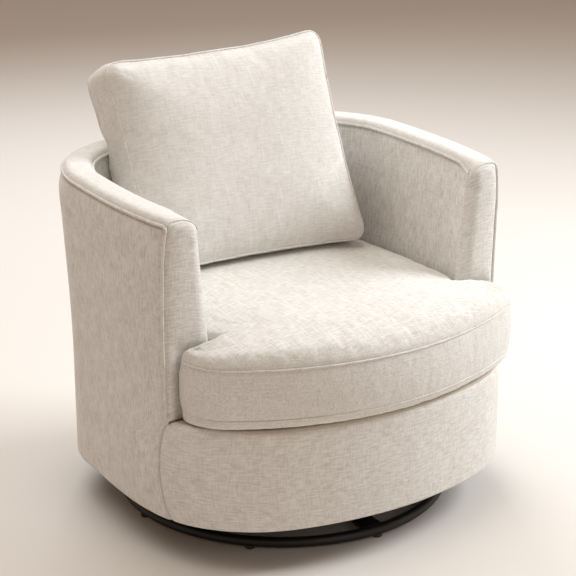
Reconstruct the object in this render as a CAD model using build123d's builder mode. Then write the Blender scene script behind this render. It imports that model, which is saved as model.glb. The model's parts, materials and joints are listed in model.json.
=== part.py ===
from build123d import *
import os
from math import cos, radians, sin, sqrt

# Swivel barrel chair: a round upholstered tub on a steel ring, with a loose T-shaped seat cushion
# and a loose boxed back cushion. Millimetres, +Z up, the sitter faces -Y, the floor is z = 0.

os.makedirs("parts", exist_ok=True)

# ---- plan of the barrel: three tangent arcs in each quarter, about the widest line
half_width = 380.0
front_reach = 363.0
back_reach = 339.0
front_side_radius = 1000.0
front_end_radius = 650.0
front_corner_radius = 240.0
back_side_radius = 1700.0
back_end_radius = 1500.0
back_corner_radius = 205.0
bottom_spread = 6.0
arm_length_ahead = 177.0          # from the widest line forward to the arm fronts
cushion_overhang = 18.0           # seat cushion beyond the front skirt
swivel_back = 10.0                # swivel axis behind the widest line

# ---- levels
fabric_bottom = 78.0
deck_level = 268.3
arm_top = 622.0
back_top = 640.0
band_crown = 12.0
band_round = 9.0

# ---- walls and layers
fit_gap = 0.3
wall_top = 56.0
wall_seat = 76.0
cloth = 3.0
thin_cloth = 1.5
wadding = 6.4
liner = 3.0
facing_depth = 12.0
board_depth = 12.0
ply = 18.0
rail_width = 20.0
rail_set_back = 5.0               # top rail's inner edge behind the inside cover
top_rail_drop = 2.0
frame_width = 70.0
post_width = 45.0

# ---- seat support
strap_width = 50.0
strap_thickness = 1.6
strap_step = 78.0
strap_hold = 25.0                 # how far each strap lies on the seat frame
deck_pad_thickness = 9.0
seat_post_angles = (15.0, 50.0)
back_post_angles = (25.0, 58.0, 90.0, 122.0, 155.0)
cross_rail_offset = 95.0          # each side of the middle
cross_rail_width = 60.0
cross_rail_height = 30.0
board_width = 300.0
board_length = 250.0

# ---- seat cushion
ear_set_in = 25.0                 # each ear's side in from the barrel's widest
ear_corner_radius = 100.0
ear_back_radius = 14.0
ear_straight = 4.0
cushion_play = 1.2
box_bulge = 4.0
edge_round = 9.0                  # how far the covers draw in beyond the welts
cushion_roll = 20.7               # from the deck up to the lower welt
cushion_box = 94.0                # from welt to welt
shoulder_rise = 18.0
crown_rise = 37.0
crown_ahead = 200.0               # middle of the crown ahead of the widest line
rear_share = 0.4                  # how much less the crown draws in towards the back
cushion_cover = 3.0

# ---- back cushion, standing on the seat cushion and leaning back
back_cushion_width = 470.0
back_cushion_height = 417.0
back_cushion_box = 96.0
back_cushion_lean = 23.0
back_cushion_set_in = 276.0       # its front lower edge ahead of the outside back
back_cushion_lift = 6.0           # and above the seat cushion's crown
back_cushion_corner = 26.0
back_cushion_draw = 7.0           # how far its sides pull in between the corners
front_crown = 36.0
rear_crown = 23.0
crown_angles = (25.0, 45.0, 65.0, 80.0)  # steps up the domed faces of both cushions

# ---- zips
zip_length = 320.0
zip_width = 6.0

# ---- swivel base
ring_radius = 311.0
tube_diameter = 19.5
glide_thickness = 3.0
glide_diameter = 18.0
glide_count = 8
glide_grip = 3.9                  # how far the glides reach up round the tube
bar_width = 40.0
bar_thickness = 6.0
bar_bend_inside_ring = 40.0
bar_bend_outside_hub = 12.0
bar_bend_shift = 2.0
hub_width = 180.0
hub_thickness = 5.0
swivel_height = 22.0
plate_width = 170.0
plate_thickness = 2.5
plate_corner_radius = 14.0
dust_cover_hole = 190.0
race_gap = 1.5                    # each race short of the middle of the balls
bolt_square_width = 134.0
bolt_diameter = 8.0
bolt_head = 4.0
bolt_head_diameter = 14.0
bolt_end = 2.0                    # shank that shows below each nut
bolt_clearance = 0.4
ball_count = 16
ball_diameter = 8.0
ball_circle_radius = 56.0
ball_play = 0.15
race_width = 16.0
cage_thickness = 1.6
cage_width = 12.0
pivot_diameter = 12.0
pivot_play = 0.08
pivot_head_diameter = 24.0
pivot_head = 3.0
hub_hole_diameter = 40.0

# ---- worked out from the sizes above
widest_y = (front_reach + cushion_overhang - back_reach - bottom_spread) / 2
swivel_y = widest_y + swivel_back
arm_front = widest_y - arm_length_ahead
back_y = widest_y + back_reach
board_front = arm_front + facing_depth + fit_gap
inner_front = board_front + board_depth + fit_gap
liner_inset = cloth + wadding + 2 * fit_gap
frame_inset = liner_inset + liner + fit_gap
frame_bottom = fabric_bottom + thin_cloth + fit_gap
frame_top = frame_bottom + ply
deck_cloth_bottom = deck_level - thin_cloth
deck_pad_bottom = deck_cloth_bottom - fit_gap - deck_pad_thickness
strap_low = deck_pad_bottom - 2 * (strap_thickness + fit_gap)
seat_frame_top = strap_low
seat_frame_bottom = seat_frame_top - ply
seat_line = deck_level + cushion_roll + cushion_box + shoulder_rise
cushion_top = seat_line + crown_rise
above_all = back_top + 4 * band_crown
plate_bottom = frame_bottom - swivel_height
ball_level = frame_bottom - swivel_height / 2
face_reach = 2 * half_width


def touch(centre, towards, radius):
    """Point at a radius from a centre, in the direction of another point."""
    return centre + (towards - centre).normalized() * radius


def arc_centres(half, reach, side_radius, end_radius, corner_radius):
    """Centres of the side, corner and end arcs of one quarter of a plan."""
    side = Vector(half - side_radius, 0)
    end = Vector(0, reach - end_radius)
    apart = (end - side).length
    to_side = side_radius - corner_radius
    to_end = end_radius - corner_radius
    along = (to_side**2 - to_end**2 + apart**2) / (2 * apart)
    direction = (end - side).normalized()
    across = Vector(-direction.Y, direction.X) * sqrt(to_side**2 - along**2)
    return side, side + direction * along + across, end


def quarter_arcs(sizes, inset):
    """Start, middle and end of the side, corner and end arcs of one quarter of a plan."""
    half, reach, side_radius, end_radius, corner_radius = sizes
    side, corner, end = arc_centres(*sizes)
    joints = (
        Vector(half - inset, 0),
        touch(side, corner, side_radius - inset),
        touch(end, corner, end_radius - inset),
        Vector(0, reach - inset),
    )
    radii = (side_radius - inset, corner_radius - inset, end_radius - inset)
    arcs = []
    for centre, radius, first, last in zip((side, corner, end), radii, joints, joints[1:]):
        arcs.append((first, touch(centre, (first + last) / 2, radius), last))
    return arcs


front_sizes = (half_width, front_reach, front_side_radius, front_end_radius, front_corner_radius)
back_sizes = (half_width, back_reach, back_side_radius, back_end_radius, back_corner_radius)


def outline(inset, level):
    """The barrel's plan at a level, drawn in by an inset."""
    with BuildSketch(Plane.XY.offset(level)) as plan:
        with BuildLine():
            for sizes, way in ((front_sizes, -1), (back_sizes, 1)):
                for arc in quarter_arcs(sizes, inset):
                    ThreePointArc(*[(p.X, widest_y + way * p.Y) for p in arc])
            mirror(about=Plane.YZ)
        make_face()
    return plan.sketch


def barrel_block(inset, low, high, mode=Mode.ADD):
    """Upright block with the barrel's plan."""
    extrude(outline(inset, low), amount=high - low, mode=mode)


def spread(level):
    """How far the covers stand out at a level: all of it at the hem, none at the arm tops."""
    return bottom_spread * (arm_top - level) / (arm_top - fabric_bottom)


def tapered_block(inset, low, high, mode=Mode.ADD):
    """Block with the covers' slight taper."""
    loft([outline(inset - spread(level), level) for level in (low, high)], ruled=True, mode=mode)


def bucket_block(skin, low, mode=Mode.ADD):
    """The hollow between the arms, larger by a skin, upright below the seat line and flared above it."""
    extrude(outline(wall_seat - skin, low), amount=seat_line - low, mode=mode)
    flare = (wall_seat - wall_top) / (arm_top - seat_line)
    mouth = wall_seat - flare * (above_all - seat_line)
    loft([outline(wall_seat - skin, seat_line), outline(mouth - skin, above_all)], ruled=True, mode=mode)


def top_plane(drop):
    """The slope of the arm-top seams, lowered by a drop."""
    rise = back_top - arm_top
    run = back_y - arm_front
    return Plane(origin=(0, arm_front, arm_top - drop), x_dir=(1, 0, 0), z_dir=(0, -rise, run))


def keep_behind(y):
    split(bisect_by=Plane(origin=(0, y, 0), z_dir=(0, 1, 0)), keep=Keep.TOP)


def keep_ahead(y):
    split(bisect_by=Plane(origin=(0, y, 0), z_dir=(0, 1, 0)), keep=Keep.BOTTOM)


def keep_below(drop):
    split(bisect_by=top_plane(drop), keep=Keep.BOTTOM)


def keep_above(drop):
    split(bisect_by=top_plane(drop), keep=Keep.TOP)


def keep_left():
    split(bisect_by=Plane.YZ, keep=Keep.BOTTOM)


def spokes_block(angles, width, low, high):
    """Radial bars that pick posts out of a ring."""
    for angle in angles:
        turned = Plane(origin=(0, widest_y, low), x_dir=(cos(radians(angle)), sin(radians(angle)), 0))
        with BuildSketch(turned) as spoke:
            with Locations((face_reach / 2, 0)):
                Rectangle(face_reach, width)
        extrude(spoke.sketch, amount=high - low)


# ======================================================================= swivel base

base_plane = Plane(origin=(0, swivel_y, 0))
swivel_section = Plane(origin=(0, swivel_y, 0), x_dir=(1, 0, 0), z_dir=(0, -1, 0))
swivel_axis = Axis((0, swivel_y, 0), (0, 0, 1))
tube_level = glide_thickness + tube_diameter / 2


def ring_tube(grow, mode=Mode.ADD):
    """The floor ring's round tube, larger by a clearance."""
    with BuildSketch(swivel_section) as tube:
        with Locations((ring_radius, tube_level)):
            Circle(tube_diameter / 2 + grow)
    revolve(tube.sketch, axis=swivel_axis, mode=mode)


with BuildPart() as base_ring:
    ring_tube(0)
base_ring.part.label = "base_ring"
export_step(base_ring.part, "parts/base_ring.step")

# floor pads, each cupped to the tube above it
with BuildPart() as floor_glides:
    with BuildSketch(base_plane):
        with PolarLocations(ring_radius, glide_count, start_angle=90):
            Circle(glide_diameter / 2)
    extrude(amount=glide_thickness + glide_grip)
    ring_tube(fit_gap, mode=Mode.SUBTRACT)
floor_glides.part.label = "floor_glides"
export_step(floor_glides.part, "parts/floor_glides.step")

# two bent flat bars cross under the hub and run down to the ring, where they are welded
hub_bottom = plate_bottom - hub_thickness
bar_low = tube_level - bar_thickness / 2
bar_high = hub_bottom - bar_thickness
bend_out = ring_radius - bar_bend_inside_ring
bend_in = hub_width / 2 + bar_bend_outside_hub
with BuildPart() as base_arms:
    for turn in (0, 90):
        side_view = Plane(
            origin=(0, swivel_y, 0),
            x_dir=(cos(radians(turn)), sin(radians(turn)), 0),
            z_dir=(sin(radians(turn)), -cos(radians(turn)), 0),
        )
        with BuildSketch(side_view):
            with BuildLine():
                Polyline(
                    (0, bar_high),
                    (bend_in, bar_high),
                    (bend_out, bar_low),
                    (ring_radius, bar_low),
                    (ring_radius, bar_low + bar_thickness),
                    (bend_out + bar_bend_shift, bar_low + bar_thickness),
                    (bend_in + bar_bend_shift, hub_bottom),
                    (0, hub_bottom),
                    close=True,
                )
            make_face()
            mirror(about=Plane.YZ)
        extrude(amount=bar_width / 2, both=True)
    ring_tube(fit_gap, mode=Mode.SUBTRACT)
    with BuildSketch(base_plane):
        Circle(ring_radius - tube_diameter / 2)
    extrude(amount=plate_bottom, mode=Mode.INTERSECT)
    with BuildSketch(base_plane):
        Circle(hub_hole_diameter / 2)
    extrude(amount=plate_bottom, mode=Mode.SUBTRACT)
base_arms.part.label = "base_arms"
export_step(base_arms.part, "parts/base_arms.step")


def square_plate(size, thickness, level, holes, hole_diameter):
    """Square plate with rounded corners, four bolt holes and a middle hole."""
    with BuildSketch(Plane(origin=(0, swivel_y, level))) as plate:
        RectangleRounded(size, size, plate_corner_radius)
        with GridLocations(bolt_square_width, bolt_square_width, 2, 2):
            Circle(holes / 2, mode=Mode.SUBTRACT)
        Circle(hole_diameter / 2, mode=Mode.SUBTRACT)
    extrude(plate.sketch, amount=thickness)


bolt_hole = bolt_diameter + 2 * bolt_clearance
with BuildPart() as hub_plate:
    square_plate(hub_width, hub_thickness, hub_bottom, bolt_hole, hub_hole_diameter)
hub_plate.part.label = "hub_plate"
export_step(hub_plate.part, "parts/hub_plate.step")


def race(low, high):
    """A race ring with its half of the ball groove."""
    with BuildSketch(swivel_section) as groove:
        with Locations((ball_circle_radius, (low + high) / 2)):
            Rectangle(race_width, high - low)
        with Locations((ball_circle_radius, ball_level)):
            Circle(ball_diameter / 2 + ball_play, mode=Mode.SUBTRACT)
    revolve(groove.sketch, axis=swivel_axis)


with BuildPart() as lower_swivel_plate:
    square_plate(plate_width, plate_thickness, plate_bottom, bolt_hole, pivot_diameter + 2 * fit_gap)
    race(plate_bottom + plate_thickness, ball_level - race_gap)
lower_swivel_plate.part.label = "lower_swivel_plate"
export_step(lower_swivel_plate.part, "parts/lower_swivel_plate.step")

upper_plate_bottom = frame_bottom - plate_thickness
with BuildPart() as upper_swivel_plate:
    pivot_hole = pivot_diameter + 2 * pivot_play
    square_plate(plate_width, plate_thickness, upper_plate_bottom, bolt_hole, pivot_hole)
    race(ball_level + race_gap, upper_plate_bottom)
upper_swivel_plate.part.label = "upper_swivel_plate"
export_step(upper_swivel_plate.part, "parts/upper_swivel_plate.step")

with BuildPart() as bearing_balls:
    with Locations((0, swivel_y, ball_level)):
        with PolarLocations(ball_circle_radius, ball_count):
            Sphere(ball_diameter / 2)
bearing_balls.part.label = "bearing_balls"
export_step(bearing_balls.part, "parts/bearing_balls.step")

with BuildPart() as ball_cage:
    with BuildSketch(Plane(origin=(0, swivel_y, ball_level - cage_thickness / 2))):
        Circle(ball_circle_radius + cage_width / 2)
        Circle(ball_circle_radius - cage_width / 2, mode=Mode.SUBTRACT)
        with PolarLocations(ball_circle_radius, ball_count):
            Circle(ball_diameter / 2 + ball_play, mode=Mode.SUBTRACT)
    extrude(amount=cage_thickness)
ball_cage.part.label = "ball_cage"
export_step(ball_cage.part, "parts/ball_cage.step")

# pivot bolt: head under the lower plate, shank up through both plates, nut over the upper plate
pivot_top = frame_bottom + fit_gap + 2 * pivot_head
with BuildPart() as pivot_bolt:
    with BuildSketch(Plane(origin=(0, swivel_y, plate_bottom - pivot_head))):
        RegularPolygon(pivot_head_diameter / 2, 6)
    extrude(amount=pivot_head)
    with BuildSketch(Plane(origin=(0, swivel_y, plate_bottom))):
        Circle(pivot_diameter / 2)
    extrude(amount=pivot_top - plate_bottom)
pivot_bolt.part.label = "pivot_bolt"
export_step(pivot_bolt.part, "parts/pivot_bolt.step")

with BuildPart() as pivot_nut:
    with BuildSketch(Plane(origin=(0, swivel_y, frame_bottom + fit_gap))):
        RegularPolygon(pivot_head_diameter / 2, 6)
        Circle(pivot_diameter / 2 + pivot_play, mode=Mode.SUBTRACT)
    extrude(amount=2 * pivot_head)
pivot_nut.part.label = "pivot_nut"
export_step(pivot_nut.part, "parts/pivot_nut.step")


def bolt_set(head_level, head_height, shank_low, shank_high):
    """Four hexagon heads with their shanks on the plates' bolt square."""
    with BuildSketch(Plane(origin=(0, swivel_y, head_level))) as heads:
        with GridLocations(bolt_square_width, bolt_square_width, 2, 2):
            RegularPolygon(bolt_head_diameter / 2, 6)
    extrude(heads.sketch, amount=head_height)
    with BuildSketch(Plane(origin=(0, swivel_y, shank_low))) as shanks:
        with GridLocations(bolt_square_width, bolt_square_width, 2, 2):
            Circle(bolt_diameter / 2)
    extrude(shanks.sketch, amount=shank_high - shank_low)


with BuildPart() as hub_bolts:
    head_level = plate_bottom + plate_thickness
    bolt_set(head_level, bolt_head, hub_bottom - bolt_head - bolt_end, head_level)
hub_bolts.part.label = "hub_bolts"
export_step(hub_bolts.part, "parts/hub_bolts.step")

with BuildPart() as hub_nuts:
    with BuildSketch(Plane(origin=(0, swivel_y, hub_bottom - bolt_head))):
        with GridLocations(bolt_square_width, bolt_square_width, 2, 2):
            RegularPolygon(bolt_head_diameter / 2, 6)
            Circle(bolt_diameter / 2 + ball_play, mode=Mode.SUBTRACT)
    extrude(amount=bolt_head)
hub_nuts.part.label = "hub_nuts"
export_step(hub_nuts.part, "parts/hub_nuts.step")

with BuildPart() as plate_bolts:
    bolt_set(upper_plate_bottom - bolt_head, bolt_head, upper_plate_bottom, frame_top)
plate_bolts.part.label = "plate_bolts"
export_step(plate_bolts.part, "parts/plate_bolts.step")

# ======================================================================= timber frame

with BuildPart() as swivel_board:
    with BuildSketch(Plane(origin=(0, swivel_y, frame_bottom))):
        Rectangle(board_width, board_length)
        with GridLocations(bolt_square_width, bolt_square_width, 2, 2):
            Circle(bolt_hole / 2, mode=Mode.SUBTRACT)
        Circle(pivot_head_diameter / 2 + 4 * fit_gap, mode=Mode.SUBTRACT)
    extrude(amount=ply)
swivel_board.part.label = "swivel_board"
export_step(swivel_board.part, "parts/swivel_board.step")

with BuildPart() as bottom_frame:
    barrel_block(frame_inset, frame_bottom, frame_top)
    barrel_block(frame_inset + frame_width, frame_bottom, frame_top, mode=Mode.SUBTRACT)
bottom_frame.part.label = "bottom_frame"
export_step(bottom_frame.part, "parts/bottom_frame.step")

rail_length = front_reach + back_reach - 2 * (frame_inset + rail_width)
with BuildPart() as cross_rails:
    with BuildSketch(Plane.XY.offset(frame_top)):
        with Locations((-cross_rail_offset, widest_y), (cross_rail_offset, widest_y)):
            Rectangle(cross_rail_width, rail_length)
    extrude(amount=cross_rail_height)
    barrel_block(frame_inset + rail_width, frame_top, frame_top + cross_rail_height, mode=Mode.INTERSECT)
cross_rails.part.label = "cross_rails"
export_step(cross_rails.part, "parts/cross_rails.step")

with BuildPart() as seat_frame:
    barrel_block(frame_inset, seat_frame_bottom, seat_frame_top)
    barrel_block(frame_inset + frame_width, seat_frame_bottom, seat_frame_top, mode=Mode.SUBTRACT)
seat_frame.part.label = "seat_frame"
export_step(seat_frame.part, "parts/seat_frame.step")

post_turns = []
for angle in seat_post_angles:
    post_turns += [angle, 180 - angle, 180 + angle, 360 - angle]
with BuildPart() as seat_post_spokes:
    spokes_block(post_turns, post_width, frame_top, seat_frame_bottom)
with BuildPart() as seat_posts:
    barrel_block(frame_inset, frame_top, seat_frame_bottom)
    barrel_block(frame_inset + post_width, frame_top, seat_frame_bottom, mode=Mode.SUBTRACT)
    add(seat_post_spokes.part, mode=Mode.INTERSECT)
seat_posts.part.label = "seat_posts"
export_step(seat_posts.part, "parts/seat_posts.step")

rail_inner = wall_top - cloth - rail_set_back
with BuildPart() as top_rail:
    barrel_block(frame_inset, arm_top - 2 * ply, above_all)
    barrel_block(rail_inner, arm_top - 2 * ply, above_all, mode=Mode.SUBTRACT)
    keep_behind(inner_front)
    keep_below(top_rail_drop)
    keep_above(top_rail_drop + ply)
top_rail.part.label = "top_rail"
export_step(top_rail.part, "parts/top_rail.step")

with BuildPart() as back_post_spokes:
    spokes_block(back_post_angles, post_width, seat_frame_top, above_all)
with BuildPart() as back_posts:
    barrel_block(frame_inset, seat_frame_top, above_all)
    barrel_block(frame_inset + rail_width, seat_frame_top, above_all, mode=Mode.SUBTRACT)
    add(back_post_spokes.part, mode=Mode.INTERSECT)
    keep_below(top_rail_drop + ply)
back_posts.part.label = "back_posts"
export_step(back_posts.part, "parts/back_posts.step")

with BuildPart() as arm_posts:
    barrel_block(frame_inset, seat_frame_top, above_all)
    barrel_block(frame_inset + rail_width, seat_frame_top, above_all, mode=Mode.SUBTRACT)
    keep_behind(inner_front)
    keep_ahead(inner_front + post_width)
    keep_below(top_rail_drop + ply)
arm_posts.part.label = "arm_posts"
export_step(arm_posts.part, "parts/arm_posts.step")

with BuildPart() as arm_board_left:
    barrel_block(frame_inset, deck_pad_bottom, above_all)
    bucket_block(cloth + fit_gap, deck_pad_bottom, mode=Mode.SUBTRACT)
    keep_behind(board_front)
    keep_ahead(board_front + board_depth)
    keep_below(top_rail_drop)
    keep_left()
arm_board_left.part.label = "arm_board_left"
export_step(arm_board_left.part, "parts/arm_board_left.step")

with BuildPart() as arm_board_right:
    add(arm_board_left.part.mirror(Plane.YZ))
arm_board_right.part.label = "arm_board_right"
export_step(arm_board_right.part, "parts/arm_board_right.step")

# ======================================================================= seat support

strap_inset = frame_inset + frame_width - strap_hold
strap_high = strap_low + strap_thickness + fit_gap
long_straps = int((half_width - strap_inset - strap_width / 2) / strap_step)
with BuildPart() as webbing_lengthwise:
    barrel_block(strap_inset, strap_low, strap_low + strap_thickness)
    with BuildSketch(Plane.XY.offset(strap_low)):
        with Locations((0, widest_y)):
            with GridLocations(strap_step, strap_step, 2 * long_straps + 1, 1):
                Rectangle(strap_width, face_reach)
    extrude(amount=strap_thickness, mode=Mode.INTERSECT)
webbing_lengthwise.part.label = "webbing_lengthwise"
export_step(webbing_lengthwise.part, "parts/webbing_lengthwise.step")

cross_straps = int((front_reach + back_reach - 2 * strap_inset - strap_width) / strap_step)
with BuildPart() as webbing_crosswise:
    barrel_block(strap_inset, strap_high, strap_high + strap_thickness)
    with BuildSketch(Plane.XY.offset(strap_high)):
        with Locations((0, widest_y + (back_reach - front_reach) / 2)):
            with GridLocations(strap_step, strap_step, 1, cross_straps):
                Rectangle(face_reach, strap_width)
    extrude(amount=strap_thickness, mode=Mode.INTERSECT)
webbing_crosswise.part.label = "webbing_crosswise"
export_step(webbing_crosswise.part, "parts/webbing_crosswise.step")


def deck_block(front_inset, low, high):
    """T-shaped layer: full width ahead of the arms, narrower between them."""
    barrel_block(front_inset, low, high)
    keep_ahead(arm_front - fit_gap)
    barrel_block(wall_seat + fit_gap, low, high)


with BuildPart() as deck_pad:
    deck_block(frame_inset, deck_pad_bottom, deck_pad_bottom + deck_pad_thickness)
deck_pad.part.label = "deck_pad"
export_step(deck_pad.part, "parts/deck_pad.step")

with BuildPart() as deck_cloth:
    deck_block(cloth + fit_gap, deck_cloth_bottom, deck_level)
deck_cloth.part.label = "deck_cloth"
export_step(deck_cloth.part, "parts/deck_cloth.step")

with BuildPart() as dust_cover:
    barrel_block(cloth + fit_gap - bottom_spread, fabric_bottom, fabric_bottom + thin_cloth)
    with Locations((0, swivel_y, fabric_bottom)):
        Box(dust_cover_hole, dust_cover_hole, ply, mode=Mode.SUBTRACT)
dust_cover.part.label = "dust_cover"
export_step(dust_cover.part, "parts/dust_cover.step")

# ======================================================================= upholstery

# round the sides and back
with BuildPart() as outer_cover:
    tapered_block(0, fabric_bottom, above_all)
    tapered_block(cloth, fabric_bottom, above_all, mode=Mode.SUBTRACT)
    keep_behind(arm_front)
    keep_below(0)
outer_cover.part.label = "outer_cover"
export_step(outer_cover.part, "parts/outer_cover.step")

with BuildPart() as outer_wadding:
    tapered_block(cloth + fit_gap, frame_bottom, above_all)
    barrel_block(cloth + fit_gap + wadding, frame_bottom, above_all, mode=Mode.SUBTRACT)
    keep_behind(board_front)
    keep_below(0)
outer_wadding.part.label = "outer_wadding"
export_step(outer_wadding.part, "parts/outer_wadding.step")

with BuildPart() as outer_liner_board:
    barrel_block(liner_inset, frame_bottom, above_all)
    barrel_block(liner_inset + liner, frame_bottom, above_all, mode=Mode.SUBTRACT)
    keep_behind(board_front)
    keep_below(0)
outer_liner_board.part.label = "outer_liner_board"
export_step(outer_liner_board.part, "parts/outer_liner_board.step")

# skirt below the seat, from one arm front round to the other
skirt_end = arm_front - fit_gap
with BuildPart() as front_cover:
    tapered_block(0, fabric_bottom, deck_level)
    tapered_block(cloth, fabric_bottom, deck_level, mode=Mode.SUBTRACT)
    keep_ahead(skirt_end)
front_cover.part.label = "front_cover"
export_step(front_cover.part, "parts/front_cover.step")

skirt_top = deck_cloth_bottom - fit_gap
with BuildPart() as front_wadding:
    tapered_block(cloth + fit_gap, frame_bottom, skirt_top)
    barrel_block(cloth + fit_gap + wadding, frame_bottom, skirt_top, mode=Mode.SUBTRACT)
    keep_ahead(skirt_end)
front_wadding.part.label = "front_wadding"
export_step(front_wadding.part, "parts/front_wadding.step")

with BuildPart() as front_liner_board:
    barrel_block(liner_inset, frame_bottom, skirt_top)
    barrel_block(liner_inset + liner, frame_bottom, skirt_top, mode=Mode.SUBTRACT)
    keep_ahead(skirt_end)
front_liner_board.part.label = "front_liner_board"
export_step(front_liner_board.part, "parts/front_liner_board.step")

# inside of the tub
inside_bottom = deck_pad_bottom
with BuildPart() as inside_padding:
    barrel_block(frame_inset + rail_width + fit_gap, inside_bottom, above_all)
    bucket_block(cloth + fit_gap, inside_bottom, mode=Mode.SUBTRACT)
    keep_behind(inner_front)
    keep_below(top_rail_drop + ply + fit_gap)
inside_padding.part.label = "inside_padding"
export_step(inside_padding.part, "parts/inside_padding.step")

with BuildPart() as inside_cover:
    bucket_block(cloth, inside_bottom)
    bucket_block(0, inside_bottom, mode=Mode.SUBTRACT)
    keep_behind(board_front)
    keep_below(0)
inside_cover.part.label = "inside_cover"
export_step(inside_cover.part, "parts/inside_cover.step")

# padded strip along the arm tops and back, rounded over both edges
with BuildPart() as top_band:
    barrel_block(0, arm_top - band_crown, above_all)
    barrel_block(wall_top, arm_top - band_crown, above_all, mode=Mode.SUBTRACT)
    keep_behind(arm_front)
    keep_above(-fit_gap)
    keep_below(-band_crown)
    crown_faces = top_band.faces().filter_by(lambda f: abs(f.normal_at().Z) > 0.9)
    fillet(crown_faces.sort_by(Axis.Z)[-1].edges(), band_round)
top_band.part.label = "top_band"
export_step(top_band.part, "parts/top_band.step")

# padded front ends of the arms
with BuildPart() as arm_facing_left:
    tapered_block(cloth + fit_gap, deck_level + fit_gap, above_all)
    bucket_block(0, deck_level, mode=Mode.SUBTRACT)
    keep_behind(arm_front)
    keep_ahead(arm_front + facing_depth)
    keep_below(0)
    keep_left()
arm_facing_left.part.label = "arm_facing_left"
export_step(arm_facing_left.part, "parts/arm_facing_left.step")

with BuildPart() as arm_facing_right:
    add(arm_facing_left.part.mirror(Plane.YZ))
arm_facing_right.part.label = "arm_facing_right"
export_step(arm_facing_right.part, "parts/arm_facing_right.step")

# ======================================================================= seat cushion

body_inset = wall_seat + cushion_play + box_bulge
cushion_front = widest_y - front_reach - cushion_overhang + box_bulge
ear_side = half_width - ear_set_in - box_bulge
ear_back = arm_front - cushion_play - box_bulge
ear_bend = Vector(ear_side - ear_back_radius, ear_back - ear_back_radius)
ear_corner = Vector(ear_side - ear_corner_radius, ear_bend.Y - ear_straight)
ear_depth = ear_corner.Y - cushion_front
ear_span = ear_corner.X**2 + ear_depth**2 - ear_corner_radius**2
front_arc_radius = ear_span / (2 * (ear_depth - ear_corner_radius))
front_arc_centre = Vector(0, cushion_front + front_arc_radius)
front_side, front_corner, _ = arc_centres(*front_sizes)
side_end = quarter_arcs(front_sizes, body_inset - box_bulge)[0][-1]
ear_past_corner = widest_y - ear_back - box_bulge > side_end.Y
crown_centre_y = widest_y - crown_ahead


def cushion_plan(inset, scale, level):
    """T-shaped plan: round front with two ears ahead of the arms, and a body between the arms."""
    front = Vector(0, cushion_front + inset)
    meet = touch(front_arc_centre, ear_corner, front_arc_radius - inset)
    ear_front = ear_corner + Vector(ear_corner_radius - inset, 0)
    corner_middle = touch(ear_corner, (meet + ear_front) / 2, ear_corner_radius - inset)
    ear_rear = ear_bend + Vector(ear_back_radius - inset, 0)
    bend_middle = touch(ear_bend, ear_bend + Vector(1, 1), ear_back_radius - inset)
    bend_end = ear_bend + Vector(0, ear_back_radius - inset)

    # the body's side follows the barrel's as far as the ear, round its front corner if that comes first
    centre = front_corner if ear_past_corner else front_side
    around = (front_corner_radius if ear_past_corner else front_side_radius) - body_inset - inset
    ear_line = widest_y - bend_end.Y
    notch = Vector(centre.X + sqrt(around**2 - (ear_line - centre.Y) ** 2), ear_line)
    side_arc = quarter_arcs(front_sizes, body_inset + inset)[0]
    turn = side_arc[-1] if ear_past_corner else side_arc[0]
    body_arcs = [(notch, touch(centre, (notch + turn) / 2, around), turn)]
    if ear_past_corner:
        body_arcs.append(tuple(reversed(side_arc)))
    back_side, back_corner, back_end = quarter_arcs(back_sizes, body_inset + inset)

    def placed(point):
        shrink = scale if point.Y < crown_centre_y else 1 - rear_share * (1 - scale)
        return (point.X * scale, crown_centre_y + (point.Y - crown_centre_y) * shrink)

    def ahead(point):
        return placed(Vector(point.X, widest_y - point.Y))

    def behind(point):
        return placed(Vector(point.X, widest_y + point.Y))

    with BuildSketch(Plane.XY.offset(level)) as plan:
        with BuildLine():
            ThreePointArc(placed(meet), placed(corner_middle), placed(ear_front))
            Line(placed(ear_front), placed(ear_rear))
            ThreePointArc(placed(ear_rear), placed(bend_middle), placed(bend_end))
            Line(placed(bend_end), ahead(notch))
            for arc in body_arcs:
                ThreePointArc(*[ahead(point) for point in arc])
            ThreePointArc(*[behind(point) for point in back_side])
            ThreePointArc(*[behind(point) for point in back_corner])
            mirror(about=Plane.YZ)
            ThreePointArc(placed(meet), placed(front), placed(Vector(-meet.X, meet.Y)))
            start = back_end[0]
            ThreePointArc(behind(start), behind(back_end[-1]), behind(Vector(-start.X, start.Y)))
        make_face()
    return plan.sketch


def dome(crown):
    """Height and scale of each step up a domed face."""
    top = sin(radians(crown_angles[-1]))
    return [(crown * sin(radians(angle)) / top, sqrt(cos(radians(angle)))) for angle in crown_angles]


box_low = deck_level + cushion_roll
box_high = box_low + cushion_box


def cushion_form(skin, mode=Mode.ADD):
    """The seat cushion's form, smaller by a skin: flat bottom, boxed sides, crowned top."""
    sections = [
        (deck_level + fit_gap + skin, edge_round, 1),
        (box_low, 0, 1),
        (box_low + cushion_box / 4, -box_bulge, 1),
        (box_high - cushion_box / 4, -box_bulge, 1),
        (box_high, 0, 1),
        (seat_line - skin, edge_round, 1),
    ]
    sections += [(seat_line + height - skin, edge_round, scale) for height, scale in dome(crown_rise)]
    plans = [cushion_plan(inset + skin, scale, level) for level, inset, scale in sections]
    loft(plans, ruled=True, mode=mode)


zip_level = box_low + cushion_box / 2 - zip_width / 2
zip_inset = body_inset - box_bulge + cushion_cover / 4


def zip_band(play, inset, depth):
    """Strip round the back of the seat cushion's boxing, kept to the zip's length."""
    with BuildPart() as band:
        barrel_block(inset, zip_level + play, zip_level + zip_width - play)
        barrel_block(inset + depth, zip_level, zip_level + zip_width, mode=Mode.SUBTRACT)
        with Locations((0, back_y, zip_level)):
            Box(zip_length - 2 * play, back_reach, 2 * zip_width, mode=Mode.INTERSECT)
    return band.part


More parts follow.
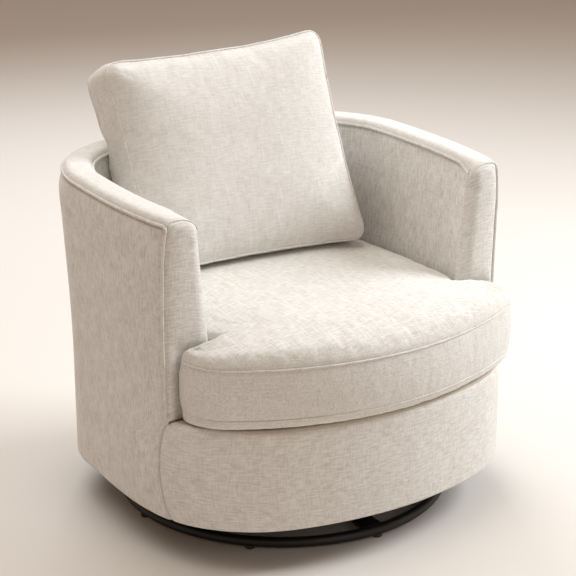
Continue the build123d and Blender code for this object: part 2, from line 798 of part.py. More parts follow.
zip_slot = zip_band(0, body_inset - 2 * box_bulge, 4 * box_bulge)
with BuildPart() as seat_cushion_cover:
    cushion_form(0)
    cushion_form(cushion_cover, mode=Mode.SUBTRACT)
    add(zip_slot, mode=Mode.SUBTRACT)
seat_cushion_cover.part.label = "seat_cushion_cover"
export_step(seat_cushion_cover.part, "parts/seat_cushion_cover.step")

with BuildPart() as seat_cushion_filling:
    cushion_form(cushion_cover + fit_gap)
seat_cushion_filling.part.label = "seat_cushion_filling"
export_step(seat_cushion_filling.part, "parts/seat_cushion_filling.step")

with BuildPart() as seat_cushion_zip:
    add(zip_band(fit_gap, zip_inset, cushion_cover / 2))
seat_cushion_zip.part.label = "seat_cushion_zip"
export_step(seat_cushion_zip.part, "parts/seat_cushion_zip.step")

# ======================================================================= back cushion

lean = radians(back_cushion_lean)
cushion_foot_y = back_y - back_cushion_set_in
cushion_plane = Plane(
    origin=(0, cushion_foot_y, cushion_top + back_cushion_lift),
    x_dir=(1, 0, 0),
    z_dir=(0, -cos(lean), sin(lean)),
)
cushion_rest = cushion_top + fit_gap


def back_cushion_plan(inset, scale, distance):
    """Rectangle with rounded corners and sides that pull in a little between them."""
    half = back_cushion_width / 2 - inset
    tall = back_cushion_height / 2 - inset
    corner = back_cushion_corner
    draw = back_cushion_draw
    middle = back_cushion_height / 2

    def placed(x, y):
        return (x * scale, middle + y * scale)

    slant = corner * (1 - sqrt(0.5))
    side = half - corner
    rise = tall - corner
    with BuildSketch(cushion_plane.offset(distance)) as plan:
        with BuildLine():
            ThreePointArc(placed(side, -tall), placed(half - slant, -tall + slant), placed(half, -rise))
            ThreePointArc(placed(half, -rise), placed(half - draw, 0), placed(half, rise))
            ThreePointArc(placed(half, rise), placed(half - slant, tall - slant), placed(side, tall))
            mirror(about=Plane.YZ)
            for end, middle_end in ((-tall, draw - tall), (tall, tall - draw)):
                ThreePointArc(placed(-side, end), placed(0, middle_end), placed(side, end))
        make_face()
    return plan.sketch


def back_cushion_form(skin):
    """The back cushion's form, smaller by a skin, cut flat where it stands on the seat cushion."""
    box = back_cushion_box
    sections = [(-box - height + skin, edge_round, scale) for height, scale in reversed(dome(rear_crown))]
    sections += [(-box, 0, 1), (-box / 2, -box_bulge, 1), (0, 0, 1)]
    sections += [(height - skin, edge_round, scale) for height, scale in dome(front_crown)]
    plans = [back_cushion_plan(inset + skin, scale, distance) for distance, inset, scale in sections]
    loft(plans, ruled=True)
    split(bisect_by=Plane.XY.offset(cushion_rest + skin), keep=Keep.TOP)


with BuildPart() as back_cushion_room:
    back_cushion_form(cushion_cover)
zip_back_y = cushion_foot_y + back_cushion_box * 0.6
with BuildPart() as back_cushion_cover:
    back_cushion_form(0)
    add(back_cushion_room.part, mode=Mode.SUBTRACT)
    with Locations((0, zip_back_y, cushion_rest)):
        Box(zip_length, zip_width, 4 * cushion_cover, mode=Mode.SUBTRACT)
back_cushion_cover.part.label = "back_cushion_cover"
export_step(back_cushion_cover.part, "parts/back_cushion_cover.step")

with BuildPart() as back_cushion_filling:
    back_cushion_form(cushion_cover + fit_gap)
back_cushion_filling.part.label = "back_cushion_filling"
export_step(back_cushion_filling.part, "parts/back_cushion_filling.step")

with BuildPart() as back_cushion_zip:
    with Locations((0, zip_back_y, cushion_rest + cushion_cover / 2)):
        Box(zip_length - 2 * fit_gap, zip_width - 2 * fit_gap, cushion_cover / 2)
back_cushion_zip.part.label = "back_cushion_zip"
export_step(back_cushion_zip.part, "parts/back_cushion_zip.step")
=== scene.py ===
import json
import math

import bmesh
import bpy
import numpy as np
from mathutils import Matrix, Vector, noise
from mathutils.bvhtree import BVHTree
from mathutils.kdtree import KDTree


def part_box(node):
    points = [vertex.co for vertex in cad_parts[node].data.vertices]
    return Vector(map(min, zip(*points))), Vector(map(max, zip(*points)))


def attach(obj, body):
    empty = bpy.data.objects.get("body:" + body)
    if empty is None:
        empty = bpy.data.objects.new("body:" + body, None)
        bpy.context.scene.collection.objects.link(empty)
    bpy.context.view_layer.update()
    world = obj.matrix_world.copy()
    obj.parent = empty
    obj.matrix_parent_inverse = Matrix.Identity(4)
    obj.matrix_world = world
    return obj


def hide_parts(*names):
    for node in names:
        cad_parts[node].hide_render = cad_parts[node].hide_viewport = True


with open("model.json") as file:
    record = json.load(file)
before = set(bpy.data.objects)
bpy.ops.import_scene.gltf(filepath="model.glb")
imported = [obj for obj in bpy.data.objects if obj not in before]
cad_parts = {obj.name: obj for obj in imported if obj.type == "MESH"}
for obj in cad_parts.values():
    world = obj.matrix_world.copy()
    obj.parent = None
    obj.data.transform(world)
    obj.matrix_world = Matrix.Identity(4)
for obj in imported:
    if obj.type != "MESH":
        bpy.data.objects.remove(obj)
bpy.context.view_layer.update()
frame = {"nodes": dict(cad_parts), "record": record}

# Swivel barrel chair in cream chenille. Metres, +Z up, the sitter faces -Y, the floor is z = 0.
nodes = frame["nodes"]
scene = bpy.context.scene

# the camera, as the photograph was taken
cameraView = {
    "place": (-1.8403, -2.7039, 1.5051),
    "target": (0.0089, 0.0220, 0.3941),
    "lens": 113.9,
}
cameraData = bpy.data.cameras.new("portraitCamera")
cameraData.lens = cameraView["lens"]
cameraData.sensor_width = 36
camera = bpy.data.objects.new("portraitCamera", cameraData)
scene.collection.objects.link(camera)
camera.location = cameraView["place"]
lookWay = Vector(cameraView["target"]) - Vector(cameraView["place"])
camera.rotation_euler = lookWay.to_track_quat("-Z", "Y").to_euler()
scene.camera = camera

# the barrel's plan: three tangent arcs in each quarter, about its widest line
barrel = {
    "halfWidth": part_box("top_band")[1].x,
    "widestY": 0.018,
    "front": {"reach": 0.363, "side": 1.000, "end": 0.650, "corner": 0.240},
    "back": {"reach": 0.339, "side": 1.700, "end": 1.500, "corner": 0.205},
    "armTop": 0.622,
    "wallTop": 0.056,
    "wallSeat": 0.076,
    "seatLine": 0.401,
    "step": 0.007,              # between stations along the walls
}
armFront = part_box("outer_cover")[0].y
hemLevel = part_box("outer_cover")[0].z
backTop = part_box("outer_cover")[1].z
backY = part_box("top_band")[1].y
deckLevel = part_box("deck_cloth")[1].z

for quarter in (barrel["front"], barrel["back"]):
    side = Vector((barrel["halfWidth"] - quarter["side"], 0))
    end = Vector((0, quarter["reach"] - quarter["end"]))
    toSide = quarter["side"] - quarter["corner"]
    toEnd = quarter["end"] - quarter["corner"]
    apart = (end - side).length
    way = (end - side) / apart
    along = (toSide**2 - toEnd**2 + apart**2) / (2 * apart)
    corner = side + way * along + Vector((-way.y, way.x)) * math.sqrt(toSide**2 - along**2)
    quarter["arcs"] = (
        (math.atan2(corner.y - side.y, corner.x - side.x), side, quarter["side"]),
        (math.atan2(corner.y - end.y, corner.x - end.x), corner, quarter["corner"]),
        (math.pi, end, quarter["end"]),
    )


def planPoint(turn, inset=0.0):
    # where the plan, drawn in by an inset, faces a turn: 0 is to the right, a quarter turn the back
    x, y = math.cos(turn), math.sin(turn)
    lean = math.atan2(abs(y), abs(x))
    for limit, centre, radius in barrel["back" if y > 0 else "front"]["arcs"]:
        if lean <= limit:
            break
    flatX = centre.x + (radius - inset) * math.cos(lean)
    flatY = centre.y + (radius - inset) * math.sin(lean)
    return Vector((math.copysign(flatX, x), barrel["widestY"] + math.copysign(flatY, y), 0))


def leanAt(y, inset):
    # how far the front quarter has turned where it reaches a y
    for limit, centre, radius in barrel["front"]["arcs"]:
        lean = math.asin(min(1, (barrel["widestY"] - y - centre.y) / (radius - inset)))
        if lean <= limit:
            return lean


armLean = leanAt(armFront, 0)


def wallPoint(turn, inset, edge=None):
    # a wall's point, with the wall's front ends held on one edge at every inset
    last = leanAt(armFront if edge is None else edge, inset)
    if turn < 0:
        turn *= last / armLean
    elif turn > math.pi:
        turn = math.pi + (turn - math.pi) * last / armLean
    return planPoint(turn, inset)


def skirtPoint(turn, inset, edge=None):
    # the same for the skirt, which runs round the front
    last = leanAt(armFront if edge is None else edge, inset)
    middle = -math.pi / 2
    share = (middle + last) / (middle + armLean)
    return planPoint(middle + (turn - middle) * share, inset)


def runLength(points):
    # how far along a path each of its points lies
    steps = np.linalg.norm(np.diff(points, axis=0), axis=1)
    return np.concatenate([[0], np.cumsum(steps)])


def evenTurns(first, last, step):
    # turns along the plan, evenly spaced by length
    turns = np.linspace(first, last, 1500)
    run = runLength(np.array([planPoint(turn) for turn in turns]))
    count = int(run[-1] / step)
    return [float(t) for t in np.interp(np.linspace(0, run[-1], count + 1), run, turns)]


def topLevel(y):
    # the sloping line of the arm-top seams
    return barrel["armTop"] + (backTop - barrel["armTop"]) * (y - armFront) / (backY - armFront)


def soft(point, size, seed=0.0):
    # gentle unevenness, between -1 and 1
    return noise.noise(point / size + Vector((seed, seed * 1.7, seed * 0.6)))


wallTurns = evenTurns(math.pi + armLean, -armLean, barrel["step"])
skirtTurns = evenTurns(-armLean, armLean - math.pi, barrel["step"])

def linkedPiece(name, data):
    bmesh.ops.recalc_face_normals(data, faces=data.faces)
    mesh = bpy.data.meshes.new(name)
    data.to_mesh(mesh)
    data.free()
    piece = bpy.data.objects.new(name, mesh)
    scene.collection.objects.link(piece)
    return piece


def dress(piece, body, slotName, *replaced):
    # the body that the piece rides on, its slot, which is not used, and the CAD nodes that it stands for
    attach(piece, body)
    if replaced:
        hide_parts(*replaced)


def joinRows(data, pairs, smoothed):
    # quads between rows of points that run round
    for here, there in pairs:
        for j in range(len(here)):
            k = (j + 1) % len(here)
            data.faces.new((here[j], here[k], there[k], there[j])).smooth = smoothed


def loftPiece(name, rings, body, slotName, *replaced, wrap=False):
    # quads from ring to ring; clothAt keeps each point's place on the flat cloth
    data = bmesh.new()
    place = data.verts.layers.float_vector.new("clothAt")
    rows = []
    along = 0.0
    for index, ring in enumerate(rings):
        if index:
            along += (ring[0] - rings[index - 1][0]).length
        around = 0.0
        row = []
        for number, point in enumerate(ring):
            if number:
                around += (point - ring[number - 1]).length
            vert = data.verts.new(point)
            vert[place] = (along, around, 0)
            row.append(vert)
        rows.append(row)
    pairs = list(zip(rows, rows[1:]))
    if wrap:
        pairs.append((rows[-1], rows[0]))
    joinRows(data, pairs, True)
    if not wrap:
        for row in (rows[0], rows[-1]):
            data.faces.new(row)
    piece = linkedPiece(name, data)
    dress(piece, body, slotName, *replaced)
    return piece


def tubeRings(points, ups, radius, sides, closed):
    # rings square to a path, each with its own up direction
    rings = []
    count = len(points)
    for i, point in enumerate(points):
        before = points[(i - 1) % count if closed else max(i - 1, 0)]
        after = points[(i + 1) % count if closed else min(i + 1, count - 1)]
        tangent = (after - before).normalized()
        across = tangent.cross(ups[i]).normalized()
        up = across.cross(tangent)
        ring = []
        for j in range(sides):
            turn = 2 * math.pi * j / sides
            ring.append(point + across * radius * math.cos(turn) + up * radius * math.sin(turn))
        rings.append(ring)
    return rings


# the outside: side cover, front skirt and the seam between them
hem = {
    "steps": 4,
    "turnedIn": 0.0012,         # height of the cloth's turned-in end over the hem
    "short": 0.0005,            # that end stops before the back of the wadding
}
sideCover = {
    "thick": 0.0095,            # cloth and wadding together
    "least": 0.0010,            # what is left of it where a seam sinks deepest
    "tuck": 0.0055,             # how deep the cloth sinks at its seams
    "tuckWidth": 0.0040,
    "hemRound": 0.0050,
    "waver": 0.0010,
    "waverSize": 0.09,
    "seamBow": 0.021,           # the skirt seam's sweep back behind the arm front
    "rows": 64,
    "backRows": 8,
}

# how far the padded walls stand outside the plan, from the hem up, in mm
wallSwell = {
    "leftArm": (
        (78, 4), (112, 7), (163, 9), (273, 9.5), (370, 11),
        (415, 12), (500, 11), (580, 8), (608, 4), (640, -1.5),
    ),
    "rightArm": ((78, 4), (150, 3), (380, 1), (500, 3), (546, 5), (590, 4), (610, 2), (640, -1.5)),
    "back": (
        (78, -8), (170, -8.2), (280, -7.8), (380, -5), (470, -0.7),
        (550, 3.6), (585, 6.3), (608, 6.5), (627, 2.5), (640, -1),
    ),
    "front": ((78, 1), (150, 3), (230, 2), (268, 0)),
}


def ease(value, low, high):
    # from 0 to 1 between two values, gently at both
    share = min(1, max(0, (value - low) / (high - low)))
    return share * share * (3 - 2 * share)


def swell(name, level):
    # a smooth curve through one profile's values
    levels, amounts = zip(*wallSwell[name])
    at = np.clip(level * 1000, levels[0], levels[-1])
    k = min(len(levels) - 2, int(np.searchsorted(levels, at, side="right")) - 1)
    share = (at - levels[k]) / (levels[k + 1] - levels[k])
    slopes = []
    for i in (k, k + 1):
        low, high = max(i - 1, 0), min(i + 1, len(levels) - 1)
        slopes.append((amounts[high] - amounts[low]) / (levels[high] - levels[low]))
    width = levels[k + 1] - levels[k]
    two, three = share * share, share**3
    return (
        amounts[k] * (2 * three - 3 * two + 1) + amounts[k + 1] * (3 * two - 2 * three)
        + width * (slopes[0] * (three - 2 * two + share) + slopes[1] * (three - two))
    ) / 1000


def coverInset(turn, level):
    # the outer face against the plan: the profiles blended round the tub
    place = planPoint(turn)
    toBack = ease(place.y, -0.10, 0.16)
    toFront = ease(-place.y, 0.175, 0.285)
    leftness = ease(-place.x, -0.2, 0.2)
    arm = leftness * swell("leftArm", level) + (1 - leftness) * swell("rightArm", level)
    sideways = arm * (1 - toBack) + swell("back", level) * toBack
    return -(sideways * (1 - toFront) + swell("front", level) * toFront)


def seamEdge(level):
    # y of the joint between side cover and skirt, and of the arm front above the seat
    share = (level - hemLevel) / (deckLevel - hemLevel)
    if share >= 1:
        return armFront
    return armFront + sideCover["seamBow"] * math.sin(math.pi * max(0, share)) ** 0.7


def sinkNear(distance, values=sideCover):
    return values["tuck"] * math.exp(-((distance / values["tuckWidth"]) ** 2))


def hemProfile(values):
    # the cloth rolled under at the hem, from inside to outside: (inset, height over the hem)
    radius = values["hemRound"]
    points = [(values["thick"] - hem["short"], hem["turnedIn"])]
    for step in range(hem["steps"] + 1):
        turn = math.pi / 2 * step / hem["steps"]
        points.append((radius * (1 - math.sin(turn)), radius * (1 - math.cos(turn))))
    return points


def wallProfile(values, top):
    # the rolled hem and the upright rows above it: (inset, level)
    profile = [(inset, hemLevel + height) for inset, height in hemProfile(values)]
    first = hemLevel + values["hemRound"]
    for row in range(1, values["rows"] + 1):
        profile.append((0, first + (top - first) * row / values["rows"]))
    return profile


def atLevel(point, level):
    point.z = level
    return point


def sideRings():
    rings = []
    for turn in wallTurns:
        top = topLevel(wallPoint(turn, 0).y)
        ring = []
        for inset, level in wallProfile(sideCover, top):
            edge = seamEdge(level)
            point = wallPoint(turn, inset + coverInset(turn, level), edge)
            sink = sinkNear(max(0, point.y - edge)) if math.cos(turn) ** 2 > 0.5 else 0
            sink += sinkNear(top - level)
            spot = Vector((point.x, point.y, level * 0.4))
            waver = sideCover["waver"] * soft(spot, sideCover["waverSize"])
            inset += coverInset(turn, level) + sink + waver
            inset = min(inset, sideCover["thick"] - sideCover["least"])
            ring.append(atLevel(wallPoint(turn, inset, edge), level))
        for row in range(sideCover["backRows"]):
            level = top + (hemLevel + hem["turnedIn"] - top) * row / sideCover["backRows"]
            ring.append(atLevel(wallPoint(turn, sideCover["thick"], seamEdge(level)), level))
        rings.append(ring)
    return rings


sidePiece = loftPiece("side_cover", sideRings(), "barrel", "upholstery", "outer_cover", "outer_wadding")

skirt = {
    "thick": 0.0095,
    "tuck": 0.0030,
    "tuckWidth": 0.0050,
    "hemRound": 0.0050,
    "topRound": 0.014,
    "topSteps": 5,
    "waver": 0.0008,
    "waverSize": 0.08,
    "gap": 0.0006,              # between the skirt's end and the side cover's
    "rows": 26,
    "backRows": 6,
}


def skirtRings():
    rings = []
    last = deckLevel - skirt["topRound"]
    for turn in skirtTurns:
        profile = wallProfile(skirt, last)
        for step in range(1, skirt["topSteps"] + 1):
            bend = math.pi / 2 * step / skirt["topSteps"]
            inset = skirt["topRound"] * (1 - math.cos(bend))
            profile.append((inset, last + skirt["topRound"] * math.sin(bend)))
        ring = []
        for inset, level in profile:
            edge = seamEdge(level) - skirt["gap"]
            inset += coverInset(turn, level)
            point = skirtPoint(turn, inset, edge)
            sink = sinkNear(edge - point.y, skirt)
            waver = skirt["waver"] * soft(Vector((point.x, point.y, level)), skirt["waverSize"], 3.0)
            ring.append(atLevel(skirtPoint(turn, inset + sink + waver, edge), level))
        for row in range(1, skirt["backRows"]):
            level = deckLevel + (hemLevel + hem["turnedIn"] - deckLevel) * row / skirt["backRows"]
            ring.append(atLevel(skirtPoint(turn, skirt["topRound"], seamEdge(level) - skirt["gap"]), level))
        rings.append(ring)
    return rings


skirtPiece = loftPiece("front_skirt", skirtRings(), "barrel", "upholstery", "front_cover", "front_wadding")
print("outside covers made")

# the top band, crowned between its two seams
topBand = {
    "crown": 0.0135,
    "endCrown": 0.0085,         # lower where the band meets the arm facing
    "fullness": 3.8,            # higher is flatter on top and rounder at the edges
    "endRun": 0.030,
    "cornerDrop": 0.013,
    "cornerRun": 0.060,
    "pucker": 0.0016,
    "puckerSize": 0.022,
    "columns": 30,
    "underColumns": 8,
    "short": 0.0005,            # its edges stop before the walls' faces
    "lift": 0.0004,             # its underside over the seam line
}


def innerInset(level):
    # the inside face against the plan: upright below the seat line, flared above it
    share = min(1, max(0, (level - barrel["seatLine"]) / (barrel["armTop"] - barrel["seatLine"])))
    return barrel["wallSeat"] + (barrel["wallTop"] - barrel["wallSeat"]) * share


def crownShape(across):
    return max(0, 1 - abs(2 * across - 1) ** topBand["fullness"]) ** 0.52


def cornerDrop(y, across=1.0):
    # the arm's inner top corner rolls down towards the front end
    near = 1 - ease(y - armFront, 0, topBand["cornerRun"])
    return topBand["cornerDrop"] * near * max(0, (across - 0.35) / 0.65) ** 2.2


def bandCrown(turn):
    # crown height at a station
    point = wallPoint(turn, 0)
    share = min(1, (point.y - armFront) / topBand["endRun"]) if math.sin(turn) < 0.2 else 1
    rise = math.sqrt(1 - (1 - share) ** 2)
    return topBand["endCrown"] + (topBand["crown"] - topBand["endCrown"]) * rise


def spread(step, steps):
    # from 0 to 1, closer together at both ends
    return 0.5 - 0.5 * math.cos(math.pi * step / steps)


def bandRings():
    rings = []
    for turn in wallTurns:
        outer = coverInset(turn, topLevel(wallPoint(turn, 0).y)) + topBand["short"]
        inner = barrel["wallTop"] - topBand["short"]
        crown = bandCrown(turn)
        bend = min(1, abs(math.sin(2 * turn)) * 1.6) if math.sin(turn) > 0 else 0.25
        ring = []
        for column in range(topBand["columns"] + 1):
            across = spread(column, topBand["columns"])
            point = wallPoint(turn, outer + (inner - outer) * across)
            pucker = soft(Vector((point.x, point.y, 0)), topBand["puckerSize"], 5.0)
            height = crown * crownShape(across)
            height += topBand["pucker"] * bend * pucker * math.sin(math.pi * across)
            point.z = topLevel(point.y) + topBand["lift"] + max(0, height) - cornerDrop(point.y, across)
            ring.append(point)
        for column in range(1, topBand["underColumns"]):
            share = column / topBand["underColumns"]
            point = wallPoint(turn, inner + (outer - inner) * column / topBand["underColumns"])
            point.z = topLevel(point.y) + topBand["lift"] - cornerDrop(point.y, 1 - share)
            ring.append(point)
        rings.append(ring)
    return rings


bandPiece = loftPiece("top_band_cover", bandRings(), "barrel", "upholstery", "top_band")
print("top band made")

# the inside of the tub
insideCover = {
    "puff": 0.0022,
    "tuck": 0.0025,
    "tuckWidth": 0.0045,
    "waver": 0.0010,
    "waverSize": 0.07,
    "thick": 0.008,
    "setBack": 0.0125,          # its front edge behind the arm front
    "rows": 34,
    "backRows": 6,
}
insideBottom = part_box("inside_cover")[0].z


def insideRings():
    edge = armFront + insideCover["setBack"]
    rings = []
    for turn in wallTurns:
        top = topLevel(wallPoint(turn, barrel["wallTop"]).y)
        top -= cornerDrop(wallPoint(turn, barrel["wallTop"], edge).y)
        ring = []
        for row in range(insideCover["rows"] + 1):
            level = insideBottom + (top - insideBottom) * row / insideCover["rows"]
            above = max(0, (level - barrel["seatLine"]) / (top - barrel["seatLine"]))
            puff = insideCover["puff"] * math.sin(math.pi * min(1, above))
            inset = innerInset(level) + puff
            point = wallPoint(turn, inset, edge)
            sink = sinkNear(top - level, insideCover)
            if math.sin(turn) < 0.3:
                sink += sinkNear(point.y - edge, insideCover)
            spot = Vector((point.x, point.y, level))
            waver = insideCover["waver"] * soft(spot, insideCover["waverSize"], 8.0)
            ring.append(atLevel(wallPoint(turn, inset - sink + min(0, waver), edge), level))
        for row in range(insideCover["backRows"]):
            level = top + (insideBottom - top) * row / insideCover["backRows"]
            ring.append(atLevel(wallPoint(turn, innerInset(level) - insideCover["thick"], edge), level))
        rings.append(ring)
    return rings


insidePiece = loftPiece(
    "inside_lining", insideRings(), "barrel", "upholstery", "inside_cover", "inside_padding"
)
print("inside made")

# arm facings: puffed front ends, tight at the outer welt and rounded over the inner edge
facing = {
    "puff": 0.0105,
    "innerRound": 0.30,         # share of the width that rounds over the inner edge
    "topRun": 0.022,
    "bottomRun": 0.014,
    "depth": 0.0120,
    "outerSink": 0.0022,
    "outerSinkShare": 0.05,
    "earLevels": (0.385, 0.425),  # below these the seat cushion's ear lies against it
    "earShares": (0.02, 0.30),
    "earGive": 0.96,
    "calmBelow": 0.43,
    "waver": 0.0008,
    "waverSize": 0.05,
    "short": 0.0008,            # its outer edge stops before the side cover's face
    "under": 0.0006,            # and its top edge under the band's crown
    "rows": 64,
    "columns": 34,
    "backColumns": 8,
}
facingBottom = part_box("arm_facing_left")[0].z


def endTurn(side):
    # where an arm ends on the plan; side is -1 on the left, 1 on the right
    return -armLean if side > 0 else math.pi + armLean


def facingTop(across):
    arch = topBand["endCrown"] * crownShape(across) - cornerDrop(armFront, across)
    return barrel["armTop"] + topBand["lift"] + arch - facing["under"]


def facingAt(turn, across, down):
    # a place on the facing's flat outline: x, level and how far below its top
    top = facingTop(across)
    level = top + (facingBottom - top) * down
    outer = wallPoint(turn, coverInset(turn, min(level, barrel["armTop"])) + facing["short"]).x
    inner = wallPoint(turn, innerInset(level)).x
    return outer + (inner - outer) * across, level, top - level


def facingPuff(across):
    # how far it stands forward across its width
    start = 1 - facing["innerRound"]
    if across < start:
        forward = facing["puff"] * (1 - (1 - across / start) ** 2.6) ** 0.6
        return forward - facing["outerSink"] * math.exp(-((across / facing["outerSinkShare"]) ** 2))
    fall = (across - start) / facing["innerRound"]
    reach = facing["puff"] + facing["depth"]
    return -facing["depth"] + reach * math.sqrt(max(0, 1 - fall**2))


def facingRings(side):
    turn = endTurn(side)
    rings = []
    for row in range(facing["rows"] + 1):
        down = row / facing["rows"]
        ring = []
        for column in range(facing["columns"] + 1):
            across = spread(column, facing["columns"])
            x, level, fromTop = facingAt(turn, across, down)
            forward = facingPuff(across)
            share = min(1, fromTop / facing["topRun"], (level - facingBottom) / facing["bottomRun"])
            rise = math.sqrt(1 - (1 - share) ** 2)
            if forward > 0:
                behindEar = (1 - ease(level, *facing["earLevels"])) * ease(across, *facing["earShares"])
                forward *= rise * (1 - facing["earGive"] * behindEar)
            waver = facing["waver"] * soft(Vector((x, 0, level)), facing["waverSize"], 11.0 + side)
            calm = 1 - ease(facing["calmBelow"] - level, 0, 0.05)
            y = armFront - forward - min(waver, 0.6 * facing["waver"]) * rise * calm
            ring.append(Vector((x, y, level)))
        for column in range(1, facing["backColumns"]):
            x, level, _ = facingAt(turn, 1 - column / facing["backColumns"], down)
            ring.append(Vector((x, armFront + facing["depth"], level)))
        rings.append(ring)
    return rings


for side, word in ((-1, "left"), (1, "right")):
    piece = loftPiece(f"facing_{word}", facingRings(side), "barrel", "upholstery", f"arm_facing_{word}")
print("facings made")

# piped welts along the seams
welt = {
    "radius": 0.0030,
    "thin": 0.0013,
    "sides": 12,
    "stand": 0.0009,            # the piping's middle outside the seam
    "step": 0.004,
    "outerBend": 0.005,         # its turn at the arm's top corner
    "innerBend": 0.011,
    "cornerDip": 0.001,
    "smoothing": 6,
}


def weltPiece(name, points, ups, radius, body, closed=False):
    rings = tubeRings(points, ups, radius, welt["sides"], closed)
    return loftPiece(name, rings, body, "upholstery", wrap=closed)


def roundedCorner(before, corner, after, radius, steps=6):
    # a quarter bend between two straight ways
    first = corner + (before - corner).normalized() * radius
    last = corner + (after - corner).normalized() * radius
    points = []
    for step in range(steps + 1):
        share = step / steps
        points.append(first.lerp(corner, share).lerp(corner.lerp(last, share), share))
    return points


def seamPath(low, rise, count, insetAt, y, edge, along, cornerY, bend):
    # up the left arm front, along the top seam and down the right arm front
    def upright(turn):
        points = []
        for row in range(count):
            level = low + rise * row / (count - 1)
            points.append(Vector((wallPoint(turn, insetAt(turn, level), edge).x, y, level)))
        return points

    left, right = upright(wallTurns[0]), upright(wallTurns[-1])
    right.reverse()
    corners = []
    for foot, head in ((left[-1], along[0]), (right[0], along[-1])):
        corners.append(Vector((foot.x, cornerY, head.z - welt["cornerDip"])))
    return (
        left + roundedCorner(left[-1], corners[0], along[0], bend)
        + along + roundedCorner(along[-1], corners[1], right[0], bend) + right
    )


def outerWeltPath():
    def insetAt(turn, level):
        return coverInset(turn, level) - welt["stand"] * 0.3

    along = []
    for turn in wallTurns:
        point = wallPoint(turn, insetAt(turn, topLevel(wallPoint(turn, 0).y)))
        if point.y > armFront + 0.006:
            along.append(atLevel(point, topLevel(point.y) + welt["stand"]))
    low, rise = facingBottom + welt["step"], barrel["armTop"] - 0.010 - facingBottom
    y, cornerY = armFront - welt["stand"], armFront - welt["stand"] * 0.5
    return seamPath(low, rise, 60, insetAt, y, None, along, cornerY, welt["outerBend"])


def innerWeltPath():
    # the same along the inner edges
    def insetAt(turn, level):
        return innerInset(level) + welt["stand"]

    edge = armFront + insideCover["setBack"] * 0.75
    along = []
    for turn in wallTurns:
        point = wallPoint(turn, barrel["wallTop"] + welt["stand"] * 0.5)
        if point.y > edge + 0.012:
            along.append(atLevel(point, topLevel(point.y) + welt["stand"] - cornerDrop(point.y)))
    low, rise = barrel["seatLine"] - 0.06, barrel["armTop"] - barrel["seatLine"] + 0.032
    return seamPath(low, rise, 50, insetAt, edge, edge, along, edge, welt["innerBend"])


def evenPath(points, step=None, count=None, closed=False):
    # the same path with evenly spaced points, by their step or their count
    path = np.array([tuple(p) for p in (points + points[:1] if closed else points)])
    run = runLength(path)
    at = np.linspace(0, run[-1], (count or int(run[-1] / step)) + 1)
    even = np.stack([np.interp(at, run, path[:, k]) for k in range(3)], axis=1)
    return [Vector(p) for p in (even[:-1] if closed else even)]


def outwardUps(points):
    # for tubes that climb: an up direction that never lies along the path
    ups = []
    for point in points:
        flat = Vector((point.x, point.y - barrel["widestY"], 0)).normalized()
        ups.append((flat + Vector((0, -0.3, 0.6))).normalized())
    return ups


for name, path in (("outer_welt", outerWeltPath()), ("inner_welt", innerWeltPath())):
    points = evenPath(path, step=welt["step"])
    weltPiece(name, points, outwardUps(points), welt["radius"], "barrel")

for side, word in ((-1, "left"), (1, "right")):
    turn = endTurn(side)
    outer = wallPoint(turn, coverInset(turn, barrel["armTop"])).x
    inner = wallPoint(turn, barrel["wallTop"]).x
    points = []
    for step in range(41):
        across = step / 40
        x = outer + (inner - outer) * across
        points.append(Vector((x, armFront, facingTop(across) + facing["under"])))
    weltPiece(f"facing_seam_{word}", points, [Vector((0, -0.7, 0.7))] * len(points), welt["thin"], "barrel")
print("welts made")

# cushions: a form, stuffed by cloth simulation, then piped
simulation = {
    "voxel": 0.005,
    "frames": 20,
    "pressure": 4.0,
    "grow": -0.010,             # spare cloth that gathers along the pinned seams
    "share": 0.36,              # how much of the movement stays: firm foam under the cloth
    "heldWidth": 0.008,         # how far beside a seam the cloth is held
    "calm": 0.006,              # and how far it stays without puckers
    "quality": 6,
    "mass": 0.3,
    "airDamping": 4,
    "stretch": 18,
    "shear": 8,
    "bend": 1.5,
}
upWay = Vector((0, 0, 1))


def sliceLoop(node, place, normal, count):
    # the outer outline of a CAD solid where a plane cuts it
    data = bmesh.new()
    data.from_mesh(nodes[node].data)
    bmesh.ops.remove_doubles(data, verts=data.verts, dist=1e-6)
    cut = bmesh.ops.bisect_plane(
        data, geom=data.verts[:] + data.edges[:] + data.faces[:], plane_co=place, plane_no=normal
    )["geom_cut"]
    links = {}
    for edge in cut:
        if isinstance(edge, bmesh.types.BMEdge):
            a, b = edge.verts
            links.setdefault(a, []).append(b)
            links.setdefault(b, []).append(a)
    best, bestLength, seen = [], 0.0, set()
    for start in links:
        if start in seen:
            continue
        loop, here, previous = [start], start, None
        seen.add(start)
        while True:
            onward = [v for v in links[here] if v is not previous and v not in seen]
            if not onward:
                break
            previous, here = here, onward[0]
            seen.add(here)
            loop.append(here)
        points = [v.co.copy() for v in loop]
        length = sum((points[i] - points[i - 1]).length for i in range(len(points)))
        if length > bestLength:
            best, bestLength = points, length
    data.free()
    return evenPath(best, count=count, closed=True)


def drawIn(loop, inset, normal):
    # a loop moved inwards in its own plane
    count = len(loop)
    centre = sum(loop, Vector()) / count
    area = sum((loop[i] - centre).cross(loop[(i + 1) % count] - centre).dot(normal) for i in range(count))
    way = 1 if area > 0 else -1
    moved = []
    for i, point in enumerate(loop):
        tangent = (loop[(i + 2) % count] - loop[i - 2]).normalized()
        inward = normal.cross(tangent) * way
        moved.append(point + inward * (inset(point) if callable(inset) else inset))
    return moved


